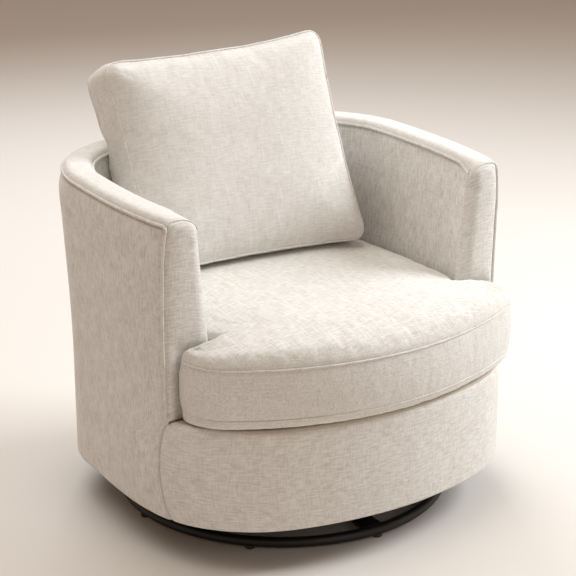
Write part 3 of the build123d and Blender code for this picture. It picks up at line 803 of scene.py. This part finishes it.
def closedForm(name, rings, lowCentre, highCentre):
    # a closed mesh from a stack of loops, ended by fans
    data = bmesh.new()
    rows = [[data.verts.new(p) for p in ring] for ring in rings]
    joinRows(data, zip(rows, rows[1:]), False)
    for row, centre in ((rows[0], lowCentre), (rows[-1], highCentre)):
        middle = data.verts.new(centre)
        for j in range(len(row)):
            data.faces.new((row[j], row[(j + 1) % len(row)], middle))
    return linkedPiece(name, data)


def bakeModifiers(piece):
    # the evaluated shape becomes the mesh itself
    depsgraph = bpy.context.evaluated_depsgraph_get()
    mesh = bpy.data.meshes.new_from_object(piece.evaluated_get(depsgraph))
    piece.modifiers.clear()
    old = piece.data
    piece.data = mesh
    bpy.data.meshes.remove(old)


def vertexValues(piece, kind):
    found = np.empty(len(piece.data.vertices) * 3)
    piece.data.vertices.foreach_get(kind, found)
    return found.reshape(-1, 3)


def coordinates(piece):
    return vertexValues(piece, "co")


def setCoordinates(piece, points):
    piece.data.vertices.foreach_set("co", points.ravel())
    piece.data.update()


def seamDistances(points, loops):
    # each point's distance to the seams, and how far round it lies
    tree = KDTree(sum(len(loop) for loop in loops))
    count = 0
    for loop in loops:
        for point in loop:
            tree.insert(point, count)
            count += 1
    tree.balance()
    found = [tree.find(point) for point in points]
    return np.array([f[2] for f in found]), np.array([f[1] for f in found])


def relax(piece, rounds):
    modifier = piece.modifiers.new("relax", "SMOOTH")
    modifier.factor = 0.5
    modifier.iterations = rounds
    bakeModifiers(piece)


def remesh(piece, voxel):
    modifier = piece.modifiers.new("remesh", "REMESH")
    modifier.mode = "VOXEL"
    modifier.voxel_size = voxel
    bakeModifiers(piece)
    relax(piece, 3)


def stuff(piece, seams, cap):
    # the seams are held while pressure fills the cloth; no point moves further than the cap
    start = coordinates(piece)
    distance, _ = seamDistances(start, seams)
    held = np.clip(1.4 - distance / simulation["heldWidth"], 0, 1)
    group = piece.vertex_groups.new(name="held")
    for index in np.nonzero(held > 0.01)[0]:
        group.add([int(index)], float(held[index]), "REPLACE")
    modifier = piece.modifiers.new("stuffing", "CLOTH")
    settings = modifier.settings
    settings.quality = simulation["quality"]
    settings.mass = simulation["mass"]
    settings.air_damping = simulation["airDamping"]
    settings.tension_stiffness = settings.compression_stiffness = simulation["stretch"]
    settings.shear_stiffness = simulation["shear"]
    settings.bending_stiffness = simulation["bend"]
    settings.use_pressure = True
    settings.uniform_pressure_force = simulation["pressure"]
    settings.shrink_min = simulation["grow"]
    settings.vertex_group_mass = group.name
    settings.effector_weights.gravity = 0
    modifier.point_cache.frame_start = 1
    modifier.point_cache.frame_end = simulation["frames"]
    for number in range(1, simulation["frames"] + 1):
        scene.frame_set(number)
    bakeModifiers(piece)
    scene.frame_set(1)
    piece.vertex_groups.clear()
    move = coordinates(piece) - start
    length = np.linalg.norm(move, axis=1)
    print(f"  {piece.name}: moved {length.mean() * 1000:.1f} mm, most {length.max() * 1000:.1f} mm")
    share = simulation["share"] * np.minimum(1, cap / np.maximum(length, 1e-9))
    setCoordinates(piece, start + move * share[:, None])


def subdivide(piece):
    modifier = piece.modifiers.new("finer", "SUBSURF")
    modifier.levels = modifier.render_levels = 1
    bakeModifiers(piece)


def fillCushion(piece, seams, values):
    remesh(piece, simulation["voxel"])
    setCoordinates(piece, coordinates(piece) - vertexValues(piece, "normal") * values["smaller"])
    stuff(piece, seams, values["cap"])
    subdivide(piece)


def surfaceTree(mesh):
    data = bmesh.new()
    data.from_mesh(mesh)
    tree = BVHTree.FromBMesh(data)
    data.free()
    return tree


def keepNear(piece, node, allowance):
    # nothing stands further out of the CAD solid than its allowance
    tree = surfaceTree(nodes[node].data)
    points = coordinates(piece)
    for index, point in enumerate(points):
        place, normal, _, _ = tree.find_nearest(Vector(point))
        room = allowance(point, normal)
        if (Vector(point) - place).dot(normal) > room:
            points[index] = np.array(place + normal * room)
    setCoordinates(piece, points)


def pressSeams(piece, seams, depth, width, pucker, puckerReach, puckerSize, seed):
    # the cloth sinks at the seams and gathers beside them
    points, normals = coordinates(piece), vertexValues(piece, "normal")
    distance, place = seamDistances(points, seams)
    sink = depth * np.exp(-((distance / width) ** 2))
    ripple = np.array([noise.noise(Vector((p / puckerSize, seed, 0))) for p in place])
    reach = np.exp(-distance / puckerReach) * (1 - np.exp(-((distance / simulation["calm"]) ** 2)))
    setCoordinates(piece, points + normals * (pucker * ripple * reach - sink)[:, None])


def weltOn(piece, name, loop, radius, stand, body):
    # piping laid on the finished surface
    tree = surfaceTree(piece.data)
    points, ups = [], []
    for point in loop:
        place, normal, _, _ = tree.find_nearest(point)
        points.append(place + normal * stand)
        ups.append(normal)
    count = len(points)
    for _ in range(welt["smoothing"]):
        points = [(points[i - 1] + points[i] * 2 + points[(i + 1) % count]) / 4 for i in range(count)]
        ups = [(ups[i - 1] + ups[i] + ups[(i + 1) % count]).normalized() for i in range(count)]
    weltPiece(name, points, ups, radius, body, closed=True)


def clothPlaces(piece, placeOf):
    # a place on the flat cloth for every corner of every face
    mesh = piece.data
    attribute = mesh.attributes.new("clothAt", "FLOAT_VECTOR", "CORNER")
    values = np.empty((len(mesh.loops), 3), dtype=np.float32)
    points = [v.co for v in mesh.vertices]
    for face in mesh.polygons:
        panel = placeOf(face.center, face.normal)
        for loop in face.loop_indices:
            values[loop] = panel(points[mesh.loops[loop].vertex_index])
    attribute.data.foreach_set("vector", values.ravel())


def smoothAll(piece):
    piece.data.polygons.foreach_set("use_smooth", [True] * len(piece.data.polygons))


seatCushion = {
    "smaller": 0.003,           # the form before it is filled
    "lowerWelt": deckLevel + 0.0207,
    "upperWelt": deckLevel + 0.1147,
    "seamPoints": 420,
    "footGap": 0.0006,
    "deckGap": 0.0004,
    "underInset": 0.012,
    "underScales": (0.3, 0.6, 0.85, 0.95),
    "shoulder": 0.018,
    "crown": 0.037,
    "crownY": -0.182,
    "crownWide": 0.372,
    "crownAhead": 0.200,
    "crownBehind": 0.520,
    "earPush": (0.003, -0.007),  # the right ear sits a little forward
    "rearShare": 0.4,
    "bulge": 0.0045,
    "edge": 0.024,
    "cap": 0.016,
    "room": 0.0006,             # how far it may stand out of the CAD solid beside the arms,
    "roomAhead": 0.009,         # in front of them
    "roomAbove": 0.018,         # and on top
    "roofEase": 0.004,
    "pressing": {
        "depth": 0.0020, "width": 0.0045, "pucker": 0.0011,
        "puckerReach": 0.030, "puckerSize": 5.0, "seed": 1.0,
    },
    "weltPoints": 560,
    "weltRadii": (0.0019, 0.0015),  # top and bottom
}


def pushEar(points):
    # points are one vector or an array of them
    if isinstance(points, Vector):
        return Vector(pushEar(np.array([tuple(points)]))[0])
    aside = np.clip((points[:, 0] - 0.18) / 0.12, 0, 1)
    amount = aside * np.clip((armFront + 0.01 - points[:, 1]) / 0.05, 0, 1)
    points[:, 0] += seatCushion["earPush"][0] * amount
    points[:, 1] += seatCushion["earPush"][1] * amount
    return points


def edgeShare(point):
    # the top rolls over widely along the open front, tightly between the arms
    return 0.45 + 0.55 * ease(armFront - 0.02 - point.y, 0, 0.08)


def crownAt(point):
    # the smooth rise of the foam's top between its edges
    values = seatCushion
    across = min(1, abs(point.x) / values["crownWide"])
    ahead = point.y < values["crownY"]
    along = min(1, abs(point.y - values["crownY"]) / values["crownAhead" if ahead else "crownBehind"])
    return values["crown"] * (1 - across**2.4) ** 1.4 * (1 - along ** (2.2 if ahead else 6))


def seatForm():
    values = seatCushion
    low, high = values["lowerWelt"], values["upperWelt"]
    seam = sliceLoop("seat_cushion_cover", Vector((0, 0, high)), upWay, values["seamPoints"])
    middle = Vector((0, values["crownY"], 0))

    def ring(level, inset, scale=1.0):
        placed = []
        for p in drawIn(seam, lambda p: inset * edgeShare(p), upWay):
            toMiddle = values["rearShare"] if p.y > middle.y and scale > 0.3 else 1
            y = middle.y + (p.y - middle.y) * (1 - toMiddle * (1 - scale))
            placed.append(Vector((p.x * scale, y, level)))
        return placed

    rings = []
    foot = deckLevel + values["footGap"]
    for scale in values["underScales"]:
        inner = drawIn(seam, values["underInset"], upWay)
        rings.append([Vector((p.x * scale, middle.y + (p.y - middle.y) * scale, foot)) for p in inner])
    for step in range(5):
        bend = math.pi / 2 * step / 4
        rings.append(ring(low - (low - foot) * math.cos(bend), values["underInset"] * (1 - math.sin(bend))))
    for step in range(1, 10):
        share = step / 10
        rings.append(ring(low + (high - low) * share, -values["bulge"] * math.sin(math.pi * share)))
    for step in range(9):
        bend = math.pi / 2 * step / 8
        rolled = ring(high, values["edge"] * (1 - math.cos(bend)))
        rise = math.sin(bend)
        rings.append([Vector((p.x, p.y, high + (values["shoulder"] + crownAt(p)) * rise)) for p in rolled])
    for step in range(1, 19):
        inner = ring(high, values["edge"], 1 - 0.94 * step / 18)
        rings.append([Vector((p.x, p.y, high + values["shoulder"] + crownAt(p))) for p in inner])
    top = Vector((0, middle.y, high + values["shoulder"] + values["crown"]))
    form = closedForm("seat_cushion", rings, Vector((0, middle.y, foot)), top)
    setCoordinates(form, pushEar(coordinates(form)))
    return form, [pushEar(p) for p in ring(low, 0)], [pushEar(p) for p in ring(high, 0)]


seatPiece, seatLow, seatHigh = seatForm()
fillCushion(seatPiece, [seatLow, seatHigh], seatCushion)
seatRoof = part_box("seat_cushion_cover")[1].z


def seatRoom(point, normal):
    values = seatCushion
    free = min(1, max(0, (armFront - 0.012 - point[1]) / 0.03))
    return values["room"] + max(values["roomAhead"] * free, values["roomAbove"] * max(0, normal.z) ** 2)


def levelSeat(piece):
    # the top eases in under the CAD's own height, and nothing dips below the deck
    slack = seatCushion["roofEase"]
    points = coordinates(piece)
    over = points[:, 2] - (seatRoof - slack)
    high = over > 0
    points[high, 2] = seatRoof - slack * np.exp(-over[high] / slack)
    points[:, 2] = np.maximum(points[:, 2], deckLevel + seatCushion["deckGap"])
    setCoordinates(piece, points)


keepNear(seatPiece, "seat_cushion_cover", seatRoom)
pressSeams(seatPiece, [seatLow, seatHigh], **seatCushion["pressing"])
levelSeat(seatPiece)
smoothAll(seatPiece)
dress(seatPiece, "seat_cushion", "upholstery", "seat_cushion_cover", "seat_cushion_filling")
weltNames = ("seat_welt_top", "seat_welt_bottom")
for name, loop, radius in zip(weltNames, (seatHigh, seatLow), seatCushion["weltRadii"]):
    path = evenPath(loop, count=seatCushion["weltPoints"], closed=True)
    weltOn(seatPiece, name, path, radius, radius * 0.5, "seat_cushion")


def seatPanel(centre, normal):
    onBoxing = seatCushion["lowerWelt"] < centre.z < seatCushion["upperWelt"]
    if abs(normal.z) < (0.9 if onBoxing else 0.6):
        turn = math.atan2(normal.y, normal.x)
        side = Vector((-math.sin(turn), math.cos(turn), 0))
        return lambda p: (p.dot(side) + turn, p.z, 1)
    return lambda p: (p.x, p.y, 2)


clothPlaces(seatPiece, seatPanel)
print("seat cushion made")

backCushion = {
    "halfWidth": 0.238,
    "height": 0.417,
    "corner": 0.026,
    "draw": 0.007,
    "box": 0.096,
    "lean": math.radians(23),
    "frontY": 0.081,
    "lift": 0.006,
    "yaw": math.radians(-4),    # nudged round by the last sitter
    "shift": -0.008,
    "roll": 0.015,              # how far its top has slid to the left
    "peak": 0.007,
    "wallGap": 0.0038,
    "frontCrown": 0.036,
    "rearCrown": 0.023,
    "bulge": 0.0045,
    "edge": 0.008,
    "smaller": 0.003,
    "cap": 0.018,
    "dome": math.radians(84),   # how far round each face's crown is followed
    "domeSteps": 12,
    "rise": 0.035,              # how much higher its right end stands, for each metre across
    "footBlend": 0.006,
    "footGap": 0.0004,
    "relaxing": 14,
    "pressing": {
        "depth": 0.0022, "width": 0.0042, "pucker": 0.0022,
        "puckerReach": 0.045, "puckerSize": 6.0, "seed": 2.0,
    },
    "weltPoints": 440,
    "weltRadius": 0.0019,
    "weltStand": 0.0011,
}
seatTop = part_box("seat_cushion_cover")[1].z
yaw = Matrix.Rotation(backCushion["yaw"], 3, "Z")
acrossWay = yaw @ Vector((1, 0, 0))
leanWay = yaw @ Vector((0, -math.cos(backCushion["lean"]), math.sin(backCushion["lean"])))
tallWay = yaw @ Vector((0, math.sin(backCushion["lean"]), math.cos(backCushion["lean"])))
cushionFoot = Vector((backCushion["shift"], backCushion["frontY"], seatTop + backCushion["lift"]))


def boxedLoop(inset, scale=1.0):
    # rounded rectangle whose sides pull in between the corners, in the cushion's own plane
    half, tall = backCushion["halfWidth"], backCushion["height"] / 2
    radius, draw = backCushion["corner"], backCushion["draw"]
    loop = []
    corners = ((1, -1, -90), (1, 1, 0), (-1, 1, 90), (-1, -1, 180))
    for number, (sx, sy, start) in enumerate(corners):
        middle = ((half - radius) * sx, (tall - radius) * sy)
        for step in range(9):
            turn = math.radians(start + 90 * step / 8)
            loop.append((middle[0] + radius * math.cos(turn), middle[1] + radius * math.sin(turn)))
        nx, ny, _ = corners[(number + 1) % 4]
        far = ((half - radius) * nx, (tall - radius) * ny)
        way = math.radians(start + 90)
        for step in range(1, 40):
            share = step / 40
            pull = draw * 4 * share * (1 - share)
            x = middle[0] + (far[0] - middle[0]) * share + (radius - pull) * math.cos(way)
            y = middle[1] + (far[1] - middle[1]) * share + (radius - pull) * math.sin(way)
            loop.append((x, y))
    flat = [Vector((x * scale, y * scale, 0)) for x, y in loop]
    return drawIn(flat, inset, upWay)


def cushionPlace(point, distance):
    # from the cushion's plane to the chair
    high = point.y + backCushion["height"] / 2
    share = max(0, high / backCushion["height"])
    aside = point.x - backCushion["roll"] * share
    right = max(0, point.x / backCushion["halfWidth"])
    high += share * (backCushion["rise"] * point.x + backCushion["peak"] * right**3)
    return cushionFoot + acrossWay * aside + tallWay * high + leanWay * distance


def backForm():
    values = backCushion
    steps = values["domeSteps"]
    rings = []

    def ring(distance, inset, scale=1.0):
        return [cushionPlace(point, distance) for point in boxedLoop(inset, scale)]

    for step in range(steps, -1, -1):
        bend = values["dome"] * step / steps
        scale = math.sqrt(math.cos(bend))
        inset = values["edge"] * scale * (bend > 0)
        rings.append(ring(-values["box"] - values["rearCrown"] * math.sin(bend), inset, scale))
    for step in range(1, 9):
        share = step / 9
        rings.append(ring(-values["box"] * (1 - share), -values["bulge"] * math.sin(math.pi * share)))
    rings.append(ring(0, 0))
    for step in range(1, steps + 1):
        bend = values["dome"] * step / steps
        scale = math.sqrt(math.cos(bend))
        rings.append(ring(values["frontCrown"] * math.sin(bend), values["edge"] * scale, scale))
    rear = cushionPlace(Vector(), -values["box"] - values["rearCrown"])
    front = cushionPlace(Vector(), values["frontCrown"])
    form = closedForm("back_cushion", rings, rear, front)
    return form, ring(0, 0), ring(-values["box"], 0)


backPiece, frontSeam, rearSeam = backForm()
fillCushion(backPiece, [frontSeam, rearSeam], backCushion)
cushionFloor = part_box("back_cushion_cover")[0].z + backCushion["footGap"]


def standOn(points, ground, blend):
    # the foot settles on the seat cushion instead of sinking into it
    height = points[:, 2] - ground
    low = height < blend
    points[low, 2] = ground + blend * np.exp(height[low] / blend - 1)
    return points


planTurns = np.linspace(0, 2 * math.pi, 2400, endpoint=False)
planTree = KDTree(len(planTurns))
for number, turn in enumerate(planTurns):
    planTree.insert(planPoint(turn), number)
planTree.balance()


def insideTub(points):
    # where the cushion meets the walls it gives; over the top band it is free again
    for point in points:
        flat = Vector((point[0], point[1], 0))
        near, _, depth = planTree.find(flat)
        over = max(0, point[2] - topLevel(point[1]) - topBand["crown"])
        needed = innerInset(point[2]) + backCushion["wallGap"] - over * 0.8
        if depth < needed:
            moved = near + (flat - near) / depth * needed
            point[0], point[1] = moved.x, moved.y
    return points


def settled(points):
    return standOn(insideTub(points), cushionFloor, backCushion["footBlend"])


setCoordinates(backPiece, settled(coordinates(backPiece)))
relax(backPiece, backCushion["relaxing"])
pressSeams(backPiece, [frontSeam, rearSeam], **backCushion["pressing"])
setCoordinates(backPiece, settled(coordinates(backPiece)))
smoothAll(backPiece)
dress(backPiece, "back_cushion", "upholstery", "back_cushion_cover", "back_cushion_filling")
for name, seam in (("back_welt_front", frontSeam), ("back_welt_rear", rearSeam)):
    loop = [Vector(p) for p in settled(np.array([tuple(p) for p in seam]))]
    path = evenPath(loop, count=backCushion["weltPoints"], closed=True)
    weltOn(backPiece, name, path, backCushion["weltRadius"], backCushion["weltStand"], "back_cushion")


def backPanel(centre, normal):
    facingAmount = normal.dot(leanWay)
    if abs(facingAmount) < 0.5:
        if abs(normal.x) > 0.6:
            return lambda p: (p.dot(leanWay), p.dot(tallWay), 1)
        return lambda p: (p.x, p.dot(leanWay), 3)
    return lambda p: (p.x, p.dot(tallWay), 2)


clothPlaces(backPiece, backPanel)
print("back cushion made")

# deck cloth under the seat cushion, and the dust cover below
deckCloth = {"thick": 0.0105, "points": 360}


def flatPiece(name, outline, low, high, body, slotName, *replaced):
    # a flat layer with rounded edges and a filled face each side
    rings = []
    edge = (high - low) / 2
    for step in range(7):
        bend = -math.pi / 2 + math.pi * step / 6
        inset = edge * (1 - math.cos(bend))
        level = (low + high) / 2 + edge * math.sin(bend)
        rings.append([Vector((p.x, p.y, level)) for p in drawIn(outline, inset, upWay)])
    return loftPiece(name, rings, body, slotName, *replaced)


deckLoop = sliceLoop("deck_cloth", Vector((0, 0, deckLevel - 0.0007)), upWay, deckCloth["points"])
deckPiece = flatPiece(
    "deck_cover", deckLoop, deckLevel - deckCloth["thick"], deckLevel,
    "barrel", "deck_fabric", "deck_cloth", "deck_pad",
)

dustCover = {
    "hole": 0.190,
    "squareness": 14,
    "inset": 0.0125,
    "thick": 0.0010,
    "sag": 0.0006,
    "sagSize": 0.06,
    "swivelY": 0.028,
    "turns": 240,
    "steps": 12,
}


def dustRings():
    # from the square hole round the swivel to the hem, above and below
    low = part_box("dust_cover")[0].z + 0.0002
    half, power = dustCover["hole"] / 2, dustCover["squareness"]
    rings = []
    for number in range(dustCover["turns"]):
        turn = 2 * math.pi * number / dustCover["turns"]
        x, y = math.cos(turn), math.sin(turn)
        reach = half / (abs(x) ** power + abs(y) ** power) ** (1 / power)
        inner = Vector((x * reach, dustCover["swivelY"] + y * reach, 0))
        outer = planPoint(turn, dustCover["inset"] + max(0, coverInset(turn, hemLevel)) * 0.5)
        under, over = [], []
        for step in range(dustCover["steps"] + 1):
            share = step / dustCover["steps"]
            point = inner.lerp(outer, share)
            ripple = soft(Vector((point.x, point.y, 0)), dustCover["sagSize"], 21.0)
            drop = dustCover["sag"] * math.sin(math.pi * share) * ripple
            under.append(Vector((point.x, point.y, low + max(0, drop))))
            over.append(Vector((point.x, point.y, low + max(0, drop) + dustCover["thick"])))
        rings.append(under + over[::-1])
    return rings


loftPiece("dust_cloth", dustRings(), "barrel", "dust_fabric", "dust_cover", wrap=True)
print("deck made")


def newMaterial(name):
    material = bpy.data.materials.new(name)
    material.use_nodes = True
    tree = material.node_tree
    tree.nodes.clear()
    output = tree.nodes.new("ShaderNodeOutputMaterial")
    shader = tree.nodes.new("ShaderNodeBsdfPrincipled")
    tree.links.new(shader.outputs[0], output.inputs["Surface"])
    return material, tree, shader


def addNode(tree, kind, values):
    # a shader node, with each input set to a value or joined to another node's output
    node = tree.nodes.new("ShaderNode" + kind)
    for key, value in values.items():
        if isinstance(value, bpy.types.NodeSocket):
            tree.links.new(value, node.inputs[key])
        else:
            node.inputs[key].default_value = value
    return node


def clothNoise(tree, place, scale, detail=2.0, rough=0.5):
    mapping = addNode(tree, "Mapping", {"Vector": place, "Scale": scale})
    values = {"Vector": mapping.outputs[0], "Scale": 1.0, "Detail": detail, "Roughness": rough}
    return addNode(tree, "TexNoise", values).outputs["Fac"]


def calc(tree, operation, *values, clamp=False):
    node = addNode(tree, "Math", dict(enumerate(values)))
    node.operation = operation
    node.use_clamp = clamp
    return node.outputs[0]


def mapRange(tree, *values):
    # the value, its own range and the range that it is brought to
    return addNode(tree, "MapRange", dict(enumerate(values))).outputs[0]


def finish(tree, shader, amount, dark, light, height, strength, distance):
    # a colour between dark and light by an amount, and a bump from a height
    mix = tree.nodes.new("ShaderNodeMix")
    mix.data_type = "RGBA"
    mix.inputs["A"].default_value = (*dark, 1)
    mix.inputs["B"].default_value = (*light, 1)
    tree.links.new(amount, mix.inputs["Factor"])
    tree.links.new(mix.outputs["Result"], shader.inputs["Base Color"])
    bump = addNode(tree, "Bump", {"Strength": strength, "Distance": distance, "Height": height})
    tree.links.new(bump.outputs[0], shader.inputs["Normal"])


chenille = {
    "light": (0.800, 0.792, 0.768),
    "dark": (0.480, 0.448, 0.402),
    "middle": 0.74,                # how light the cloth is between its darkest and lightest yarns
    "fine": (0.0130, 0.0016),      # length and thickness of the thin slubs
    "coarse": (0.0220, 0.0036),    # and of the thick ones
    "fineShade": 0.40,
    "coarseShade": 0.46,
    "blotch": (0.026, 0.044),
    "bump": 0.6,
    "bumpSize": 0.0007,
    "surface": {
        "Roughness": 0.92,
        "Specular IOR Level": 0.25,
        "Sheen Weight": 0.30,
        "Sheen Roughness": 0.45,
        "Sheen Tint": (1.0, 0.96, 0.90, 1),
    },
}


def slubs(tree, place, size, upright):
    # yarns that lie both ways, with the share of the upright ones
    long, thin = 1 / size[0], 1 / size[1]
    across = clothNoise(tree, place, (thin, long, 1.3), 1)
    along = clothNoise(tree, place, (long, thin, 1), 1)
    across = calc(tree, "MULTIPLY", across, upright)
    return calc(tree, "ADD", across, calc(tree, "MULTIPLY", along, 1 - upright))


def chenilleMaterial(name, blotch=0.3, weave=1.0, upright=0.4):
    material, tree, shader = newMaterial(name)
    attribute = tree.nodes.new("ShaderNodeAttribute")
    attribute.attribute_name = "clothAt"
    place = attribute.outputs["Vector"]
    fine = slubs(tree, place, chenille["fine"], upright)
    coarse = slubs(tree, place, chenille["coarse"], upright)
    wide, tall = 1 / chenille["blotch"][0], 1 / chenille["blotch"][1]
    blotches = clothNoise(tree, place, (wide, tall, 2), 3, 0.55)
    fineShade, coarseShade = chenille["fineShade"] * weave, chenille["coarseShade"] * weave
    shade = mapRange(tree, fine, 0.36, 0.64, -fineShade, fineShade)
    shade = calc(tree, "ADD", shade, mapRange(tree, coarse, 0.36, 0.64, -coarseShade, coarseShade))
    shade = calc(tree, "ADD", shade, mapRange(tree, blotches, 0.3, 0.7, -blotch, blotch))
    amount = calc(tree, "ADD", calc(tree, "MULTIPLY", shade, 0.5), chenille["middle"], clamp=True)
    height = calc(tree, "ADD", fine, coarse)
    bump = chenille["bump"] * weave
    finish(tree, shader, amount, chenille["dark"], chenille["light"], height, bump, chenille["bumpSize"])
    for key, value in chenille["surface"].items():
        shader.inputs[key].default_value = value
    return material


def plainMaterial(name, colour, roughness, metallic=0.0, scale=300.0, bumpSize=0.0001, vary=0.06):
    material, tree, shader = newMaterial(name)
    coordinate = tree.nodes.new("ShaderNodeTexCoord")
    spots = clothNoise(tree, coordinate.outputs["Object"], (scale, scale, scale), 3)
    dark = [c * (1 - vary) for c in colour]
    light = [min(1, c * (1 + vary)) for c in colour]
    finish(tree, shader, spots, dark, light, spots, 0.5, bumpSize)
    shader.inputs["Roughness"].default_value = roughness
    shader.inputs["Metallic"].default_value = metallic
    return material


brushed = chenilleMaterial("brushed chenille", blotch=0.33, upright=0.64)
woven = chenilleMaterial("woven chenille", blotch=0.16)
facingCloth = chenilleMaterial("facing chenille", blotch=0.16, upright=0.64)
smooth = chenilleMaterial("smooth chenille", blotch=0.16, weave=0.6)
finishes = {
    "deck_cover": plainMaterial("deck twill", (0.55, 0.50, 0.43), 0.9, scale=900, bumpSize=0.0003),
    "dust_cloth": plainMaterial("dust cloth", (0.035, 0.035, 0.037), 0.95, scale=1200),
}
for material, names in (
    (brushed, ("side_cover", "inside_lining")),
    (facingCloth, ("facing_left", "facing_right")),
    (smooth, ("top_band_cover", "back_cushion")),
    (woven, (
        "front_skirt", "seat_cushion", "outer_welt", "inner_welt", "facing_seam_left", "facing_seam_right",
        "seat_welt_top", "seat_welt_bottom", "back_welt_front", "back_welt_rear",
    )),
):
    for name in names:
        finishes[name] = material
slotFinishes = {
    "padding": plainMaterial("wadding", (0.80, 0.79, 0.76), 0.95),
    "dust_fabric": finishes["dust_cloth"],
    "webbing": plainMaterial("webbing", (0.42, 0.33, 0.20), 0.85, scale=800),
    "plywood": plainMaterial("birch plywood", (0.62, 0.46, 0.28), 0.6, scale=60),
    "hardwood": plainMaterial("beech", (0.52, 0.34, 0.19), 0.55, scale=60),
    "liner_board": plainMaterial("grey board", (0.36, 0.30, 0.23), 0.9, scale=400),
    "black_steel": plainMaterial("satin black", (0.006, 0.006, 0.0065), 0.45, scale=900, bumpSize=0.00004),
    "zinc_steel": plainMaterial("zinc plate", (0.55, 0.56, 0.56), 0.35, metallic=1.0, scale=500),
    "ball_steel": plainMaterial("bearing steel", (0.62, 0.62, 0.62), 0.12, metallic=1.0),
    "nylon": plainMaterial("black nylon", (0.03, 0.03, 0.03), 0.5),
    "zip_nylon": plainMaterial("zip nylon", (0.45, 0.40, 0.33), 0.6),
    "upholstery": woven,
    "deck_fabric": finishes["deck_cover"],
}
for name, material in finishes.items():
    piece = bpy.data.objects[name]
    piece.data.materials.clear()
    piece.data.materials.append(material)
slotOf = {}
for subpart in frame["record"]["subparts"]:
    slotOf[subpart.get("node", subpart.get("name"))] = subpart.get("material_slot")
for name, node in nodes.items():
    material = slotFinishes.get(slotOf.get(name), slotFinishes["hardwood"])
    if not node.material_slots:
        node.data.materials.append(material)
    for place in node.material_slots:
        place.material = material
print("materials made")

# the studio
studio = {
    "floor": (0.74, 0.71, 0.67),
    "floorSize": 12,
    "floorLevel": -0.0005,
    "world": 0.350,
    "worldColour": (1.0, 0.74, 0.56),
    "aim": (0, 0, 0.45),
    "lights": {
        "window": {"place": (2.8, -1.0, 2.4), "size": (1.6, 1.6), "power": 125, "colour": (0.93, 0.975, 1.0)},
        "ceiling": {"place": (-0.8, 0.5, 3.1), "size": (2.6, 2.6), "power": 42, "colour": (1.0, 0.99, 0.96)},
        "rear": {"place": (0.8, 2.8, 2.6), "size": (2.0, 2.0), "power": 55, "colour": (0.90, 0.95, 1.0)},
        "front": {"place": (0.4, -3.8, 2.3), "size": (1.4, 1.4), "power": 12, "colour": (0.98, 0.99, 1.0)},
    },
}
floorData = bmesh.new()
bmesh.ops.create_grid(floorData, x_segments=1, y_segments=1, size=studio["floorSize"])
floorMesh = bpy.data.meshes.new("floor")
floorData.to_mesh(floorMesh)
floorData.free()
floor = bpy.data.objects.new("floor", floorMesh)
scene.collection.objects.link(floor)
floor.location.z = studio["floorLevel"]
floor.data.materials.append(plainMaterial("pale floor", studio["floor"], 0.8, scale=3, bumpSize=0, vary=0.01))

world = bpy.data.worlds.new("studio")
world.use_nodes = True
world.node_tree.nodes["Background"].inputs["Color"].default_value = (*studio["worldColour"], 1)
world.node_tree.nodes["Background"].inputs["Strength"].default_value = studio["world"]
scene.world = world


def softLight(name, place, size, power, colour):
    light = bpy.data.lights.new(name, "AREA")
    light.shape = "RECTANGLE"
    light.size, light.size_y = size
    light.energy = power
    light.color = colour
    lamp = bpy.data.objects.new(name, light)
    scene.collection.objects.link(lamp)
    lamp.location = place
    lamp.rotation_euler = (Vector(studio["aim"]) - Vector(place)).to_track_quat("-Z", "Y").to_euler()


for name, values in studio["lights"].items():
    softLight(name, **values)
scene.view_settings.view_transform = "Standard"
print("studio made")
